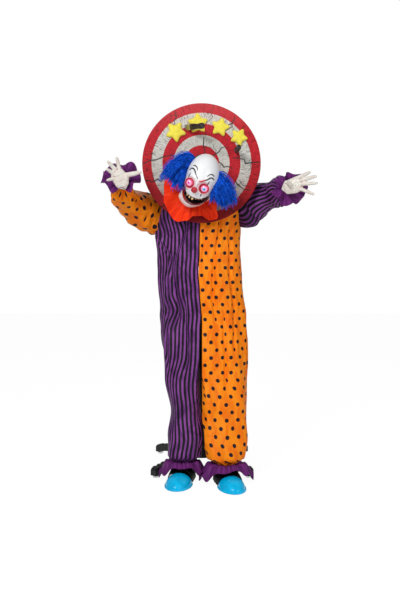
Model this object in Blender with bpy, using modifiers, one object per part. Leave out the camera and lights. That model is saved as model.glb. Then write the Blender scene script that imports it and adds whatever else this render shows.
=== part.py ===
# Animated clown figure on a star base, with a round target behind its head.
# Metres, +Z up. The figure faces -Y. The origin is the middle of the floor area that it covers.
# Lengths below are measured from the column axis, and one root empty shifts the whole figure.

import math

import bmesh
import bpy
from mathutils import Matrix, Vector

# Driving dimensions: frame

COLUMN_AT = Vector((-0.035, 0.1235, 0.0))
GAP = 0.0003
RUN = 0.00045
WALL = 0.0025

# Driving dimensions: star base and column

LEG_REACH = 0.315
LEG_WIDTH = 0.034
LEG_RIBS = 9
HUB_R = 0.062
HUB_LOW = 0.048
HUB_TOP = 0.108
HUB_FLOOR = 0.004
LEG_ROOT = 0.020
LEG_TONGUE = 0.034
GLIDE_PIN_R = 0.0040
GLIDE_PIN_TOP = 0.024
GLIDE_R = 0.014
GLIDE_TALL = 0.010
COLUMN_R = 0.016
COLUMN_INNER_R = 0.0137
MAST_R = 0.0133
MAST_INNER_R = 0.0118
JOIN_Z = 0.560
MAST_TOP = 1.372
HIP_Z = 0.792
SHOULDER_Z = 1.285

# Driving dimensions: target and its drive

TARGET_X = -0.003
TARGET_Z = 1.4255
TARGET_FRONT = -0.145
TARGET_R = 0.2685
TARGET_THICK = 0.022
NOSE_R = 0.021
SHAFT_R = 0.007
SHAFT_REAR = -0.032
STAR_R = 0.050
STAR_THICK = 0.015
STAR_WAIST = 0.55
WASHER_R = 0.040
WASHER_THICK = 0.003
BLADE_HALF = 0.013
BLADE_THICK = 0.0024
BLADE_DEEP = 0.012
GRIP_LENGTH = 0.095
GRIP_R = 0.0145
GRIP_END_R = 0.0135
MOTOR_R = 0.028
MOTOR_LENGTH = 0.050

# Driving dimensions: head

EYE_MID = Vector((-0.0245, -0.345, 1.3080))
EYE_SPACING = 0.0335
EYE_R = 0.0200
EYE_PLANE = -0.0460
EYE_HOLE_R = 0.0182
NECK_R = 0.034
NECK_AT = Vector((-0.022, -0.172, 1.315))
HEAD_YAW = math.radians(-10.0)
HEAD_PITCH = math.radians(15.0)
HEAD_ROLL = math.radians(20.0)
SKULL_HALF_WIDTH = 0.073
SKULL_HALF_DEPTH = 0.088
SKULL_CROWN = 0.133
SKULL_MIDDLE = 0.034
CHIN_Z = -0.104
NOSE_BALL_R = 0.013
JAW_PIVOT = Vector((0.0, -0.008, -0.036))
JAW_PIN_R = 0.0042
JAW_CLEAR = 0.0042
MASK_WALL = 0.0035
JAW_WALL = 0.0032
JAW_FLARE = 0.006
JAW_SKEW = 0.0065
SKULL_LEAN = 0.006
SEAM_AT = 0.006
LIP_MIDDLE = -0.0545

# Driving dimensions: arms, measured at the joints

SHOULDER_RIGHT = Vector((-0.205, 0.0, 1.272))
ELBOW_RIGHT = Vector((-0.358, -0.120, 1.232))
WRIST_RIGHT = Vector((-0.347, -0.262, 1.322))
SHOULDER_LEFT = Vector((0.203, 0.0, 1.285))
ELBOW_LEFT = Vector((0.326, -0.118, 1.300))
WRIST_LEFT = Vector((0.366, -0.258, 1.303))
ARM_TUBE_R = 0.0095
CUFF_WALL = 0.0023
PALM_WIDTH = 0.074
PALM_THICK = 0.020
HEEL_THICK = 0.030
WRIST_STUB_R = 0.0165

# Driving dimensions: feet

ANKLE_RIGHT = Vector((-0.088, -0.236, 0.052))
ANKLE_LEFT = Vector((0.108, -0.278, 0.052))
HEM_Z = 0.084
ANKLE_R = 0.041
SHOE_LENGTH = 0.262
SHOE_HEEL = 0.062
SHOE_HALF = 0.050
SHOE_TALL = 0.055
SOLE_THICK = 0.016
CAP_HALF = 0.060
CAP_TALL = 0.060
CAP_FRONT = 0.094
CAP_REAR = 0.110
WELT_WIDE = 0.006
WELT_THICK = 0.014
TOE_TURN_RIGHT = math.radians(4.0)
TOE_TURN_LEFT = math.radians(-14.0)


def clear_scene():
    for old in list(bpy.data.objects):
        bpy.data.objects.remove(old, do_unlink=True)


clear_scene()
PARTS = bpy.data.collections.new("animated_clown")
CUTTERS = bpy.data.collections.new("clown_cutters")
bpy.context.scene.collection.children.link(PARTS)
bpy.context.scene.collection.children.link(CUTTERS)
CUTTERS.hide_render = True


def material(name, color, roughness, metallic=0.0):
    made = bpy.data.materials.new(name)
    made.use_nodes = True
    shader = made.node_tree.nodes["Principled BSDF"]
    shader.inputs["Base Color"].default_value = (*color, 1.0)
    shader.inputs["Roughness"].default_value = roughness
    shader.inputs["Metallic"].default_value = metallic
    return made


BLACK_PLASTIC = material("black_plastic", (0.02, 0.02, 0.022), 0.45)
BLACK_STEEL = material("black_steel", (0.03, 0.03, 0.032), 0.4, 0.6)
ZINC_STEEL = material("zinc_steel", (0.6, 0.6, 0.6), 0.35, 1.0)
STRIPED_CLOTH = material("striped_cloth", (0.2, 0.05, 0.3), 0.6)
DOTTED_CLOTH = material("dotted_cloth", (1.0, 0.28, 0.01), 0.6)
PURPLE_CLOTH = material("purple_cloth", (0.15, 0.01, 0.17), 0.55)
COLLAR_CLOTH = material("collar_cloth", (1.0, 0.06, 0.01), 0.55)
TARGET_BOARD = material("target_board", (0.6, 0.03, 0.04), 0.6)
YELLOW_FOAM = material("yellow_foam", (0.95, 0.85, 0.1), 0.8)
KNIFE_STEEL = material("knife_steel", (0.55, 0.55, 0.57), 0.3, 0.9)
KNIFE_GRIP = material("knife_grip", (0.03, 0.025, 0.02), 0.5)
WHITE_MASK = material("white_mask", (0.85, 0.85, 0.85), 0.35)
JAW_SKIN = material("jaw_skin", (0.85, 0.7, 0.7), 0.4)
HEAD_SHELL = material("head_shell", (0.8, 0.8, 0.8), 0.45)
TOOTH = material("tooth", (0.8, 0.55, 0.25), 0.4)
EYE = material("eye", (0.95, 0.4, 0.7), 0.2)
NOSE_RED = material("nose_red", (0.6, 0.01, 0.03), 0.3)
BLUE_HAIR = material("blue_hair", (0.01, 0.1, 0.5), 0.8)
HAND_SKIN = material("hand_skin", (0.8, 0.8, 0.74), 0.5)
TOE_BLUE = material("toe_blue", (0.0, 0.45, 0.8), 0.2)
SHOE_BLACK = material("shoe_black", (0.015, 0.015, 0.015), 0.5)

# The empties: one for the whole figure and one on each joint axis

ROOT = bpy.data.objects.new("figure_frame", None)
ROOT.location = COLUMN_AT
PARTS.objects.link(ROOT)
AXIS_AT = {"figure_frame": Vector((0.0, 0.0, 0.0))}


def axis_empty(name, at, parent):
    made = bpy.data.objects.new(name, None)
    made.empty_display_size = 0.03
    made.location = at - AXIS_AT[parent.name]
    made.parent = parent
    AXIS_AT[name] = at.copy()
    PARTS.objects.link(made)
    return made


def place(obj, mat, parent):
    """Puts a finished part in the collection, on its own body's empty."""
    if obj.name not in PARTS.objects:
        PARTS.objects.link(obj)
    obj.data.materials.clear()
    obj.data.materials.append(mat)
    obj.parent = parent
    obj.matrix_parent_inverse = Matrix.Translation(-AXIS_AT[parent.name])
    return obj


def helper(obj, parent=ROOT):
    """A cutter or a joined piece: drawn as wire and left out of a render."""
    if obj.name not in CUTTERS.objects:
        CUTTERS.objects.link(obj)
    obj.hide_render = True
    obj.display_type = "WIRE"
    obj.parent = parent
    obj.matrix_parent_inverse = Matrix.Translation(-AXIS_AT[parent.name])
    return obj


def mesh_object(name, bm, sharp=35.0):
    data = bpy.data.meshes.new(name)
    bm.normal_update()
    bm.to_mesh(data)
    bm.free()
    data.shade_smooth()
    data.set_sharp_from_angle(angle=math.radians(sharp))
    return bpy.data.objects.new(name, data)


def turn_to(direction):
    """The rotation that takes +Z to a direction."""
    return Vector((0.0, 0.0, 1.0)).rotation_difference(Vector(direction)).to_matrix().to_4x4()


def box_mesh(size, at=(0, 0, 0), spin=None):
    bm = bmesh.new()
    bmesh.ops.create_cube(bm, size=1.0)
    bmesh.ops.scale(bm, vec=Vector(size), verts=bm.verts)
    if spin is not None:
        bmesh.ops.transform(bm, matrix=spin, verts=bm.verts)
    bmesh.ops.translate(bm, vec=Vector(at), verts=bm.verts)
    return bm


def rod_mesh(start, end, radius, sides=16, end_radius=None):
    start = Vector(start)
    end = Vector(end)
    along = end - start
    bm = bmesh.new()
    last = radius if end_radius is None else end_radius
    bmesh.ops.create_cone(
        bm, cap_ends=True, segments=sides, radius1=radius, radius2=last, depth=along.length
    )
    middle = Matrix.Translation((start + end) / 2)
    bmesh.ops.transform(bm, matrix=middle @ turn_to(along), verts=bm.verts)
    return bm


def ball_mesh(at, radii, rings=12, sides=20, spin=None):
    bm = bmesh.new()
    bmesh.ops.create_uvsphere(bm, u_segments=sides, v_segments=rings, radius=1.0)
    bmesh.ops.scale(bm, vec=Vector(radii), verts=bm.verts)
    if spin is not None:
        bmesh.ops.transform(bm, matrix=spin, verts=bm.verts)
    bmesh.ops.translate(bm, vec=Vector(at), verts=bm.verts)
    return bm


def boolean(target, tool, operation="DIFFERENCE"):
    modifier = target.modifiers.new(operation.lower(), "BOOLEAN")
    modifier.operation = operation
    modifier.object = tool
    modifier.solver = "EXACT"
    return modifier


def cut(target, bm, name):
    tool = helper(mesh_object(name, bm))
    boolean(target, tool)
    return tool


def join(target, bm, name):
    tool = helper(mesh_object(name, bm))
    boolean(target, tool, "UNION")
    return tool


def turned(name, profile, base, direction, steps=32):
    """A closed profile of (radius, height) pairs turned round an axis."""
    bm = bmesh.new()
    corners = [bm.verts.new((radius, 0.0, height)) for radius, height in profile]
    for first, second in zip(corners, corners[1:] + corners[:1]):
        if first.co.x > 0.0 or second.co.x > 0.0:
            bm.edges.new((first, second))
    obj = mesh_object(name, bm)
    screw = obj.modifiers.new("turn", "SCREW")
    screw.steps = steps
    screw.render_steps = steps
    screw.use_merge_vertices = True
    screw.merge_threshold = 0.00005
    screw.use_normal_calculate = True
    return frozen(obj, Matrix.Translation(Vector(base)) @ turn_to(direction))


def frozen(obj, matrix=None):
    """The evaluated shape as a plain mesh, with its doubles welded and its faces outward."""
    holder = bpy.context.scene.collection
    holder.objects.link(obj)
    bpy.context.view_layer.update()
    graph = bpy.context.evaluated_depsgraph_get()
    data = bpy.data.meshes.new_from_object(obj.evaluated_get(graph))
    name = obj.name
    bpy.data.objects.remove(obj, do_unlink=True)
    bm = bmesh.new()
    bm.from_mesh(data)
    bmesh.ops.remove_doubles(bm, verts=bm.verts, dist=0.00002)
    if matrix is not None:
        bmesh.ops.transform(bm, matrix=matrix, verts=bm.verts)
    bmesh.ops.recalc_face_normals(bm, faces=bm.faces)
    return mesh_object(name, bm)


def outline_plate(name, points, thickness, matrix):
    """A flat closed outline, filled and extruded to a thickness."""
    curve = bpy.data.curves.new(name, "CURVE")
    curve.dimensions = "2D"
    curve.fill_mode = "BOTH"
    curve.extrude = thickness / 2
    spline = curve.splines.new("POLY")
    spline.points.add(len(points) - 1)
    for corner, point in zip(spline.points, points):
        corner.co = (point[0], point[1], 0.0, 1.0)
    spline.use_cyclic_u = True
    return frozen(bpy.data.objects.new(name, curve), matrix)


def bent_tube(name, points, radius, sides_level=2):
    """A solid rod along a poly line, with filled caps."""
    curve = bpy.data.curves.new(name, "CURVE")
    curve.dimensions = "3D"
    curve.bevel_depth = radius
    curve.bevel_resolution = sides_level
    curve.use_fill_caps = True
    spline = curve.splines.new("POLY")
    spline.points.add(len(points) - 1)
    for corner, point in zip(spline.points, points):
        corner.co = (*point, 1.0)
    return frozen(bpy.data.objects.new(name, curve))


def grid_mesh(rows, closed):
    """A cloth surface through rows of points. A closed row joins its last point to its first."""
    bm = bmesh.new()
    made = [[bm.verts.new(point) for point in row] for row in rows]
    for low, high in zip(made, made[1:]):
        count = len(low)
        last = count if closed else count - 1
        for i in range(last):
            j = (i + 1) % count
            bm.faces.new((low[i], low[j], high[j], high[i]))
    return bm


def sheet_object(name, bm, thickness, offset=1.0):
    """An open surface given a wall. Its outer side is the one the faces point to."""
    obj = mesh_object(name, bm, 60.0)
    wall = obj.modifiers.new("wall", "SOLIDIFY")
    wall.thickness = thickness
    wall.offset = offset
    wall.use_even_offset = False
    return obj


def smooth_step(t):
    t = min(max(t, 0.0), 1.0)
    return t * t * (3.0 - 2.0 * t)


def lerp(a, b, t):
    return a + (b - a) * t


def along_table(keys, z):
    """Reads a value at a height from (height, value) pairs, joined smoothly."""
    if z <= keys[0][0]:
        return keys[0][1]
    for (z0, v0), (z1, v1) in zip(keys, keys[1:]):
        if z <= z1:
            return lerp(v0, v1, smooth_step((z - z0) / (z1 - z0)))
    return keys[-1][1]


# The star base: hub, four ribbed legs that plug into it and their glides


def leg_direction(side_x, side_y):
    return Vector((side_x, side_y, 0.0)).normalized()


def leg_outline():
    """The leg's side view, as distance from the column and height."""
    root = HUB_R - LEG_ROOT
    points = [
        (root, 0.058),
        (HUB_R + 0.004, 0.058),
        (HUB_R + 0.006, 0.052),
        (LEG_REACH - 0.045, 0.020),
        (LEG_REACH - 0.030, GLIDE_TALL + GAP),
        (LEG_REACH, GLIDE_TALL + GAP),
        (LEG_REACH, 0.034),
        (LEG_REACH - 0.006, 0.043),
    ]
    first = LEG_REACH - 0.012
    last = HUB_R + 0.012
    pitch = (first - last) / LEG_RIBS
    for i in range(LEG_RIBS):
        near = first - i * pitch
        for reach, lift in ((near, 0.0), (near, 0.003), (near - pitch / 2, 0.003), (near - pitch / 2, 0.0)):
            t = (LEG_REACH - reach) / (LEG_REACH - HUB_R)
            points.append((reach, lerp(0.043, 0.098, t ** 1.15) + lift))
    points.append((HUB_R + 0.004, 0.098))
    points.append((HUB_R + 0.004, 0.092))
    points.append((root, 0.092))
    return points


def build_leg(name, side_x, side_y):
    way = leg_direction(side_x, side_y)
    across = Vector((0.0, 0.0, 1.0)).cross(way)
    stand = Matrix((
        (way.x, 0.0, across.x, 0.0),
        (way.y, 0.0, across.y, 0.0),
        (0.0, 1.0, 0.0, 0.0),
        (0.0, 0.0, 0.0, 1.0),
    ))
    leg = outline_plate(name, leg_outline(), LEG_WIDTH, stand)
    place(leg, BLACK_PLASTIC, ROOT)
    foot = way * (LEG_REACH - GLIDE_R - 0.002)
    low = foot + Vector((0.0, 0.0, 0.005))
    high = foot + Vector((0.0, 0.0, GLIDE_PIN_TOP + 0.002))
    cut(leg, rod_mesh(low, high, GLIDE_PIN_R + GAP, 12), name + "_bore")
    profile = (
        (0.0, 0.0),
        (GLIDE_R - 0.002, 0.0),
        (GLIDE_R, 0.003),
        (GLIDE_R, GLIDE_TALL),
        (GLIDE_PIN_R, GLIDE_TALL),
        (GLIDE_PIN_R, GLIDE_PIN_TOP),
        (0.0, GLIDE_PIN_TOP),
    )
    glide = turned("glide" + name[8:], profile, foot, (0, 0, 1), 12)
    place(glide, ZINC_STEEL, ROOT)
    return leg


def build_base():
    profile = (
        (COLUMN_R + GAP, HUB_TOP),
        (0.040, HUB_TOP),
        (HUB_R, HUB_TOP - 0.010),
        (HUB_R, HUB_LOW),
        (0.030, HUB_LOW - HUB_FLOOR),
        (0.0, HUB_LOW - HUB_FLOOR),
        (0.0, HUB_LOW + HUB_FLOOR),
        (COLUMN_R + GAP, HUB_LOW + HUB_FLOOR),
    )
    hub = turned("base_hub", profile, (0, 0, 0), (0, 0, 1), 24)
    place(hub, BLACK_PLASTIC, ROOT)
    for sx, sy, label in ((-1, -1, "fr"), (1, -1, "fl"), (-1, 1, "rr"), (1, 1, "rl")):
        build_leg("base_leg_" + label, sx, sy)
        way = leg_direction(sx, sy)
        depth = 0.030
        middle = way * (HUB_R - LEG_ROOT - GAP + depth / 2)
        angle = math.atan2(way.y, way.x)
        pocket = box_mesh(
            (depth, LEG_WIDTH + 2 * GAP, LEG_TONGUE + 2 * GAP),
            middle + Vector((0, 0, 0.075)),
            Matrix.Rotation(angle, 4, "Z"),
        )
        cut(hub, pocket, "pocket_" + label)


def build_column():
    low = HUB_LOW + HUB_FLOOR + GAP
    lower = (
        (COLUMN_R, JOIN_Z),
        (COLUMN_R, low),
        (COLUMN_INNER_R, low),
        (COLUMN_INNER_R, JOIN_Z),
    )
    place(turned("column_lower", lower, (0, 0, 0), (0, 0, 1), 20), BLACK_STEEL, ROOT)
    upper = (
        (MAST_R, MAST_TOP),
        (MAST_R, JOIN_Z - 0.070),
        (MAST_INNER_R, JOIN_Z - 0.070),
        (MAST_INNER_R, MAST_TOP),
    )
    place(turned("column_upper", upper, (0, 0, 0), (0, 0, 1), 20), BLACK_STEEL, ROOT)
    ring = (
        (COLUMN_R + 0.006, JOIN_Z - 0.028),
        (COLUMN_R + GAP, JOIN_Z - 0.028),
        (COLUMN_R + GAP, JOIN_Z + GAP),
        (MAST_R + GAP, JOIN_Z + GAP),
        (MAST_R + GAP, JOIN_Z + 0.006),
        (COLUMN_R + 0.004, JOIN_Z + 0.006),
        (COLUMN_R + 0.006, JOIN_Z + 0.003),
    )
    collar = place(turned("column_collar", ring, (0, 0, 0), (0, 0, 1), 20), BLACK_PLASTIC, ROOT)
    start = Vector((0.0, COLUMN_R + 0.002, JOIN_Z - 0.014))
    join(collar, rod_mesh(start, start + Vector((0, 0.020, 0)), 0.004, 10), "clamp_screw")
    join(
        collar,
        rod_mesh(start + Vector((0, 0.016, 0)), start + Vector((0, 0.026, 0)), 0.009, 12),
        "clamp_knob",
    )


def sleeve_block(name, at, size, bore_r, mat, parent):
    """A moulded block clamped round the column."""
    block = place(mesh_object(name, box_mesh(size, at)), mat, parent)
    bore = rod_mesh(at + Vector((0, 0, -0.1)), at + Vector((0, 0, 0.1)), bore_r, 20)
    cut(block, bore, name + "_bore")
    return block


HIP_RIGHT = Vector((-0.085, -0.012, HIP_Z))
HIP_LEFT = Vector((0.085, -0.012, HIP_Z))


def build_hips():
    block = (0.050, 0.050, 0.040)
    bar = sleeve_block("hip_bar", Vector((0, 0, HIP_Z)), block, MAST_R + GAP, BLACK_PLASTIC, ROOT)
    for side, hip in (("right", HIP_RIGHT), ("left", HIP_LEFT)):
        start = Vector((math.copysign(0.020, hip.x), 0.0, HIP_Z))
        middle = (start + Vector((hip.x, 0.0, HIP_Z))) / 2
        join(bar, box_mesh((0.066, 0.024, 0.026), middle), "hip_arm_" + side)
        cup_top = hip + Vector((0.0, 0.012, 0.018))
        cup_end = hip + Vector((0.0, 0.012, -0.022))
        join(bar, rod_mesh(cup_top, cup_end, 0.016, 14), "hip_cup_" + side)
    for side, hip, ankle in (("right", HIP_RIGHT, ANKLE_RIGHT), ("left", HIP_LEFT, ANKLE_LEFT)):
        top = hip + Vector((0, 0.012, 0.0))
        bend = top + Vector((0, 0, -0.060))
        knee = lerp(top, ankle, 0.5) + Vector((0, 0.012, 0.0))
        route = [top, bend, knee, ankle + Vector((0, 0, 0.060)), ankle + Vector((0, 0, -0.012))]
        tube = bent_tube("leg_tube_" + side, route, ARM_TUBE_R, 2)
        place(tube, BLACK_STEEL, ROOT)
        bore = rod_mesh(top + Vector((0, 0, GAP)), top + Vector((0, 0, -0.05)), ARM_TUBE_R + GAP, 20)
        cut(bar, bore, "hip_bore_" + side)


# The shoes: a black sole and upper, and a glossy toe cap


def shoe_matrix(ankle, turn):
    return Matrix.Translation(Vector((ankle.x, ankle.y, 0.0))) @ Matrix.Rotation(turn, 4, "Z")


def dome_mesh(front, rear, half_width, tall, sides=24, levels=5):
    """Half an egg lying on the floor, longer to the front (-Y) than to the rear."""
    bm = bmesh.new()
    bmesh.ops.create_uvsphere(bm, u_segments=sides, v_segments=2 * levels, radius=1.0)
    keep = bmesh.ops.bisect_plane(
        bm, geom=list(bm.verts) + list(bm.edges) + list(bm.faces),
        plane_co=(0, 0, 0), plane_no=(0, 0, -1), clear_outer=True,
    )
    rim = [edge for edge in keep["geom_cut"] if isinstance(edge, bmesh.types.BMEdge)]
    bmesh.ops.contextual_create(bm, geom=rim)
    for vert in bm.verts:
        stretch = front if vert.co.y < 0 else rear
        vert.co = Vector((vert.co.x * half_width, vert.co.y * stretch, vert.co.z * tall))
    return bm


def egg_outline(count, half_width, front, rear, shift=0.0, phase=0.0):
    """A flat egg outline, longer to the front (-Y) than to the rear."""
    points = []
    for i in range(count):
        angle = 2 * math.pi * (i + phase) / count
        reach = front if math.sin(angle) < 0 else rear
        points.append((half_width * math.cos(angle), shift + reach * math.sin(angle)))
    return points


def build_shoe(side, ankle, turn):
    at = shoe_matrix(ankle, turn)
    toe = SHOE_LENGTH - SHOE_HEEL
    cap_middle = -toe + CAP_FRONT + 0.004
    cut_y = cap_middle + 0.018
    upper_bm = dome_mesh(toe - 0.012, SHOE_HEEL, SHOE_HALF, SHOE_TALL, 20, 4)
    bmesh.ops.translate(upper_bm, vec=(0, 0, SOLE_THICK - 0.002), verts=upper_bm.verts)
    bmesh.ops.transform(upper_bm, matrix=at, verts=upper_bm.verts)
    upper = place(mesh_object("shoe_" + side, upper_bm), SHOE_BLACK, ROOT)
    sole_profile = egg_outline(22, SHOE_HALF - 0.002, toe - 0.012, SHOE_HEEL)
    lie = at @ Matrix.Translation((0, 0, SOLE_THICK / 2))
    sole = outline_plate("sole_" + side, sole_profile, SOLE_THICK, lie)
    boolean(upper, helper(sole), "UNION")
    neck_low = ankle + Vector((0.0, 0.0, -0.02))
    neck_top = ankle + Vector((0.0, 0.0, 0.046))
    join(upper, rod_mesh(neck_low, neck_top, 0.033, 16, 0.032), "shoe_neck_" + side)
    behind = box_mesh((0.20, 0.20, 0.20), (0, cut_y - 0.10 + GAP, 0.08))
    bmesh.ops.transform(behind, matrix=at, verts=behind.verts)
    cut(upper, behind, "shoe_front_cut_" + side)
    bore_low = ankle + Vector((0.0, 0.0, -0.012 - GAP))
    bore_top = ankle + Vector((0.0, 0.0, 0.10))
    cut(upper, rod_mesh(bore_low, bore_top, ARM_TUBE_R + GAP, 20), "shoe_bore_" + side)
    cap_bm = dome_mesh(CAP_FRONT, CAP_REAR, CAP_HALF, CAP_TALL, 24, 5)
    bmesh.ops.translate(cap_bm, vec=(0, cap_middle, 0.006), verts=cap_bm.verts)
    bmesh.ops.transform(cap_bm, matrix=at, verts=cap_bm.verts)
    cap = place(mesh_object("toe_cap_" + side, cap_bm), TOE_BLUE, ROOT)
    welt_half = CAP_HALF + WELT_WIDE
    welt_profile = egg_outline(22, welt_half, CAP_FRONT + 0.004, CAP_REAR + 0.002, cap_middle, 0.37)
    lie = at @ Matrix.Translation((0, 0, WELT_THICK / 2))
    welt = outline_plate("welt_" + side, welt_profile, WELT_THICK, lie)
    boolean(cap, helper(welt), "UNION")
    ahead = box_mesh((0.20, 0.20, 0.20), (0, cut_y + 0.10, 0.08))
    bmesh.ops.transform(ahead, matrix=at, verts=ahead.verts)
    cut(cap, ahead, "cap_rear_cut_" + side)


# The cloth pieces


def wrist_ruffle(name, wrist, way, outer, drift, waves, parent):
    """A frill that spreads from an elastic edge round the wrist, towards the hand."""
    count = 5 * waves
    centre = wrist + way * 0.006
    inner = ARM_TUBE_R + 0.0074
    spin = turn_to(way)
    rows = []
    for t in (0.0, 0.5, 1.0):
        row = []
        for i in range(count):
            angle = 2 * math.pi * i / count
            uneven = 1.0 + 0.07 * math.sin(2 * angle + 0.7) * t
            radius = lerp(inner, outer, t) * uneven
            height = -0.012 * t * t + 0.013 * t * math.sin(waves * angle)
            point = Vector((radius * math.cos(angle), radius * math.sin(angle), height))
            row.append(centre + spin @ point + drift * t)
        rows.append(row)
    return place(sheet_object(name, grid_mesh(rows, True), 0.0016, 0.0), PURPLE_CLOTH, parent)


def ankle_ruffle(name, ankle, outer, turn):
    """A frill under the trouser hem. It lies over the shoe in front and hangs at the sides."""
    waves = 7
    count = 5 * waves
    rows = []
    hem = HEM_Z - 0.0011
    for t, front_z, side_z in ((0.0, hem, hem), (0.45, HEM_Z - 0.0035, 0.066), (1.0, HEM_Z - 0.0040, 0.030)):
        row = []
        for i in range(count):
            angle = 2 * math.pi * i / count
            front = max(0.0, -math.sin(angle - turn)) ** 1.2
            radius = lerp(ANKLE_R, outer, t) * (1.0 + 0.06 * t * math.sin(2 * angle + 0.7))
            swing = 0.009 * t * (1.0 - 0.7 * front) * math.sin(waves * angle)
            height = lerp(side_z, front_z, front) + swing
            x = ankle.x + radius * math.cos(angle)
            y = ankle.y + radius * math.sin(angle)
            row.append(Vector((x, y, height)))
        rows.append(row)
    bm = grid_mesh(rows, True)
    bmesh.ops.reverse_faces(bm, faces=bm.faces)
    return place(sheet_object(name, bm, 0.0016, 0.0), PURPLE_CLOTH, ROOT)


LEG_STEPS = (HEM_Z, 0.105, 0.15, 0.22, 0.32, 0.43, 0.54, 0.65, 0.735)
TORSO_STEPS = (0.81, 0.91, 1.01, 1.11, 1.20, 1.265, 1.312, 1.340)
AROUND = 22
SUIT_HALF = 13
SEAM_GAP = 0.0008

# Places of the costume's outline, as (height, value) pairs

SEAM_X = (
    (HEM_Z, 0.004), (0.19, -0.006), (0.33, -0.013), (0.45, -0.012), (0.66, -0.008),
    (0.735, -0.003), (0.84, -0.011), (0.93, -0.017), (1.02, -0.012), (1.34, -0.006),
)
LEG_OUTER = {
    "right": (
        (HEM_Z, ANKLE_R), (0.11, 0.068), (0.185, 0.073), (0.29, 0.064),
        (0.45, 0.080), (0.66, 0.094), (0.735, 0.098),
    ),
    "left": (
        (HEM_Z, ANKLE_R), (0.11, 0.072), (0.20, 0.100), (0.38, 0.108), (0.58, 0.106), (0.735, 0.103),
    ),
}
LEG_MIDDLE = {
    "right": (
        (HEM_Z, ANKLE_RIGHT.x), (0.11, -0.083), (0.185, -0.080), (0.29, -0.076),
        (0.45, -0.090), (0.66, -0.100),
    ),
    "left": (
        (HEM_Z, ANKLE_LEFT.x), (0.11, 0.104), (0.20, 0.100), (0.38, 0.100), (0.58, 0.103), (0.735, 0.104),
    ),
}
LEG_SHIFT = {
    "right": (
        (HEM_Z, ANKLE_RIGHT.y), (0.11, -0.226), (0.30, -0.150), (0.50, -0.090), (0.735, -0.006),
    ),
    "left": (
        (HEM_Z, ANKLE_LEFT.y), (0.11, -0.268), (0.30, -0.170), (0.50, -0.095), (0.735, -0.006),
    ),
}
LEG_DEPTH = ((HEM_Z, ANKLE_R), (0.11, 0.068), (0.30, 0.082), (0.50, 0.094), (0.735, 0.114))
TORSO_EDGE = {
    "right": (
        (0.735, -0.198), (0.90, -0.208), (1.10, -0.221), (1.215, -0.216),
        (1.27, -0.205), (1.315, -0.160), (1.340, -0.066),
    ),
    "left": (
        (0.735, 0.206), (0.86, 0.190), (1.02, 0.183), (1.14, 0.184),
        (1.215, 0.190), (1.27, 0.196), (1.315, 0.155), (1.340, 0.054),
    ),
}
TORSO_FRONT = ((0.735, -0.120), (0.95, -0.122), (1.10, -0.106), (1.27, -0.100), (1.340, -0.060))
TORSO_BACK = ((0.735, 0.108), (0.95, 0.118), (1.15, 0.112), (1.27, 0.098), (1.340, 0.060))


def column_room(y):
    """How far the inseam keeps from the column, front to back."""
    return 0.0275 * math.exp(-(((y - 0.012) / 0.052) ** 4))


def fold_at(side, angle, z):
    """How far a soft vertical fold lifts the cloth."""
    return 0.0055 * math.sin(7 * angle + 5.0 * z + (0.0 if side == "right" else 1.1))


def round_ring(side, z, angle):
    """A point of the trouser leg's own round section."""
    sign = -1.0 if side == "right" else 1.0
    tight = smooth_step((z - HEM_Z) / 0.05)
    fold = fold_at(side, angle, z) * tight + 0.003 * (1 - tight) * math.cos(12 * angle)
    x = along_table(LEG_MIDDLE[side], z) + sign * (along_table(LEG_OUTER[side], z) + fold) * math.cos(angle)
    y = along_table(LEG_SHIFT[side], z) + (along_table(LEG_DEPTH, z) + fold) * math.sin(angle)
    return Vector((x, y, z))


def half_panel(side, z, angle, edge, front, back):
    """A point of a body panel that runs from the front seam round the outside to the back seam."""
    sign = -1.0 if side == "right" else 1.0
    start = along_table(SEAM_X, z) + sign * SEAM_GAP
    round_x = max(math.cos(angle), 0.0)
    fold = fold_at(side, angle, z)
    x = start + sign * (abs(edge - start) * round_x ** 0.75 + fold * round_x ** 0.5)
    y = (back + front) / 2 + ((back - front) / 2 + fold * abs(math.sin(angle))) * math.sin(angle)
    return Vector((x, y, z))


def suit_ring(side, z):
    """One level of a trouser leg: first the outside, from front seam to back seam, then the inseam."""
    sign = -1.0 if side == "right" else 1.0
    flat = smooth_step((z - 0.33) / 0.22)
    shift = along_table(LEG_SHIFT[side], z)
    depth = along_table(LEG_DEPTH, z)
    edge = along_table(LEG_MIDDLE[side], z) + sign * along_table(LEG_OUTER[side], z)
    spread = math.radians(48.0)
    seam = along_table(SEAM_X, z) + sign * SEAM_GAP
    points = []
    for i in range(AROUND):
        if i < SUIT_HALF:
            t = i / (SUIT_HALF - 1)
            around = round_ring(side, z, lerp(-math.pi / 2 - spread, math.pi / 2 + spread, t))
            boxy = half_panel(side, z, math.pi * (t - 0.5), edge, shift - depth, shift + depth)
        else:
            t = (i - SUIT_HALF + 1) / (AROUND - SUIT_HALF + 1)
            around = round_ring(side, z, lerp(math.pi / 2 + spread, 1.5 * math.pi - spread, t))
            boxy = Vector((seam, shift + depth * lerp(1.0, -1.0, t), z))
        point = around.lerp(boxy, flat)
        keep = max(sign * seam, column_room(point.y))
        point.x = sign * max(sign * point.x, keep)
        points.append(point)
    return points


def torso_row(side, z):
    """One level of the body panel, an open row from the front seam to the back seam."""
    edge = along_table(TORSO_EDGE[side], z)
    front = along_table(TORSO_FRONT, z)
    back = along_table(TORSO_BACK, z)
    steps = SUIT_HALF - 1
    return [half_panel(side, z, math.pi * (i / steps - 0.5), edge, front, back) for i in range(SUIT_HALF)]


ARMHOLE = {
    "right": SHOULDER_RIGHT + Vector((-0.007, 0.0, -0.050)),
    "left": SHOULDER_LEFT + Vector((-0.015, 0.0, -0.045)),
}
ARMHOLE_R = 0.072


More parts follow.
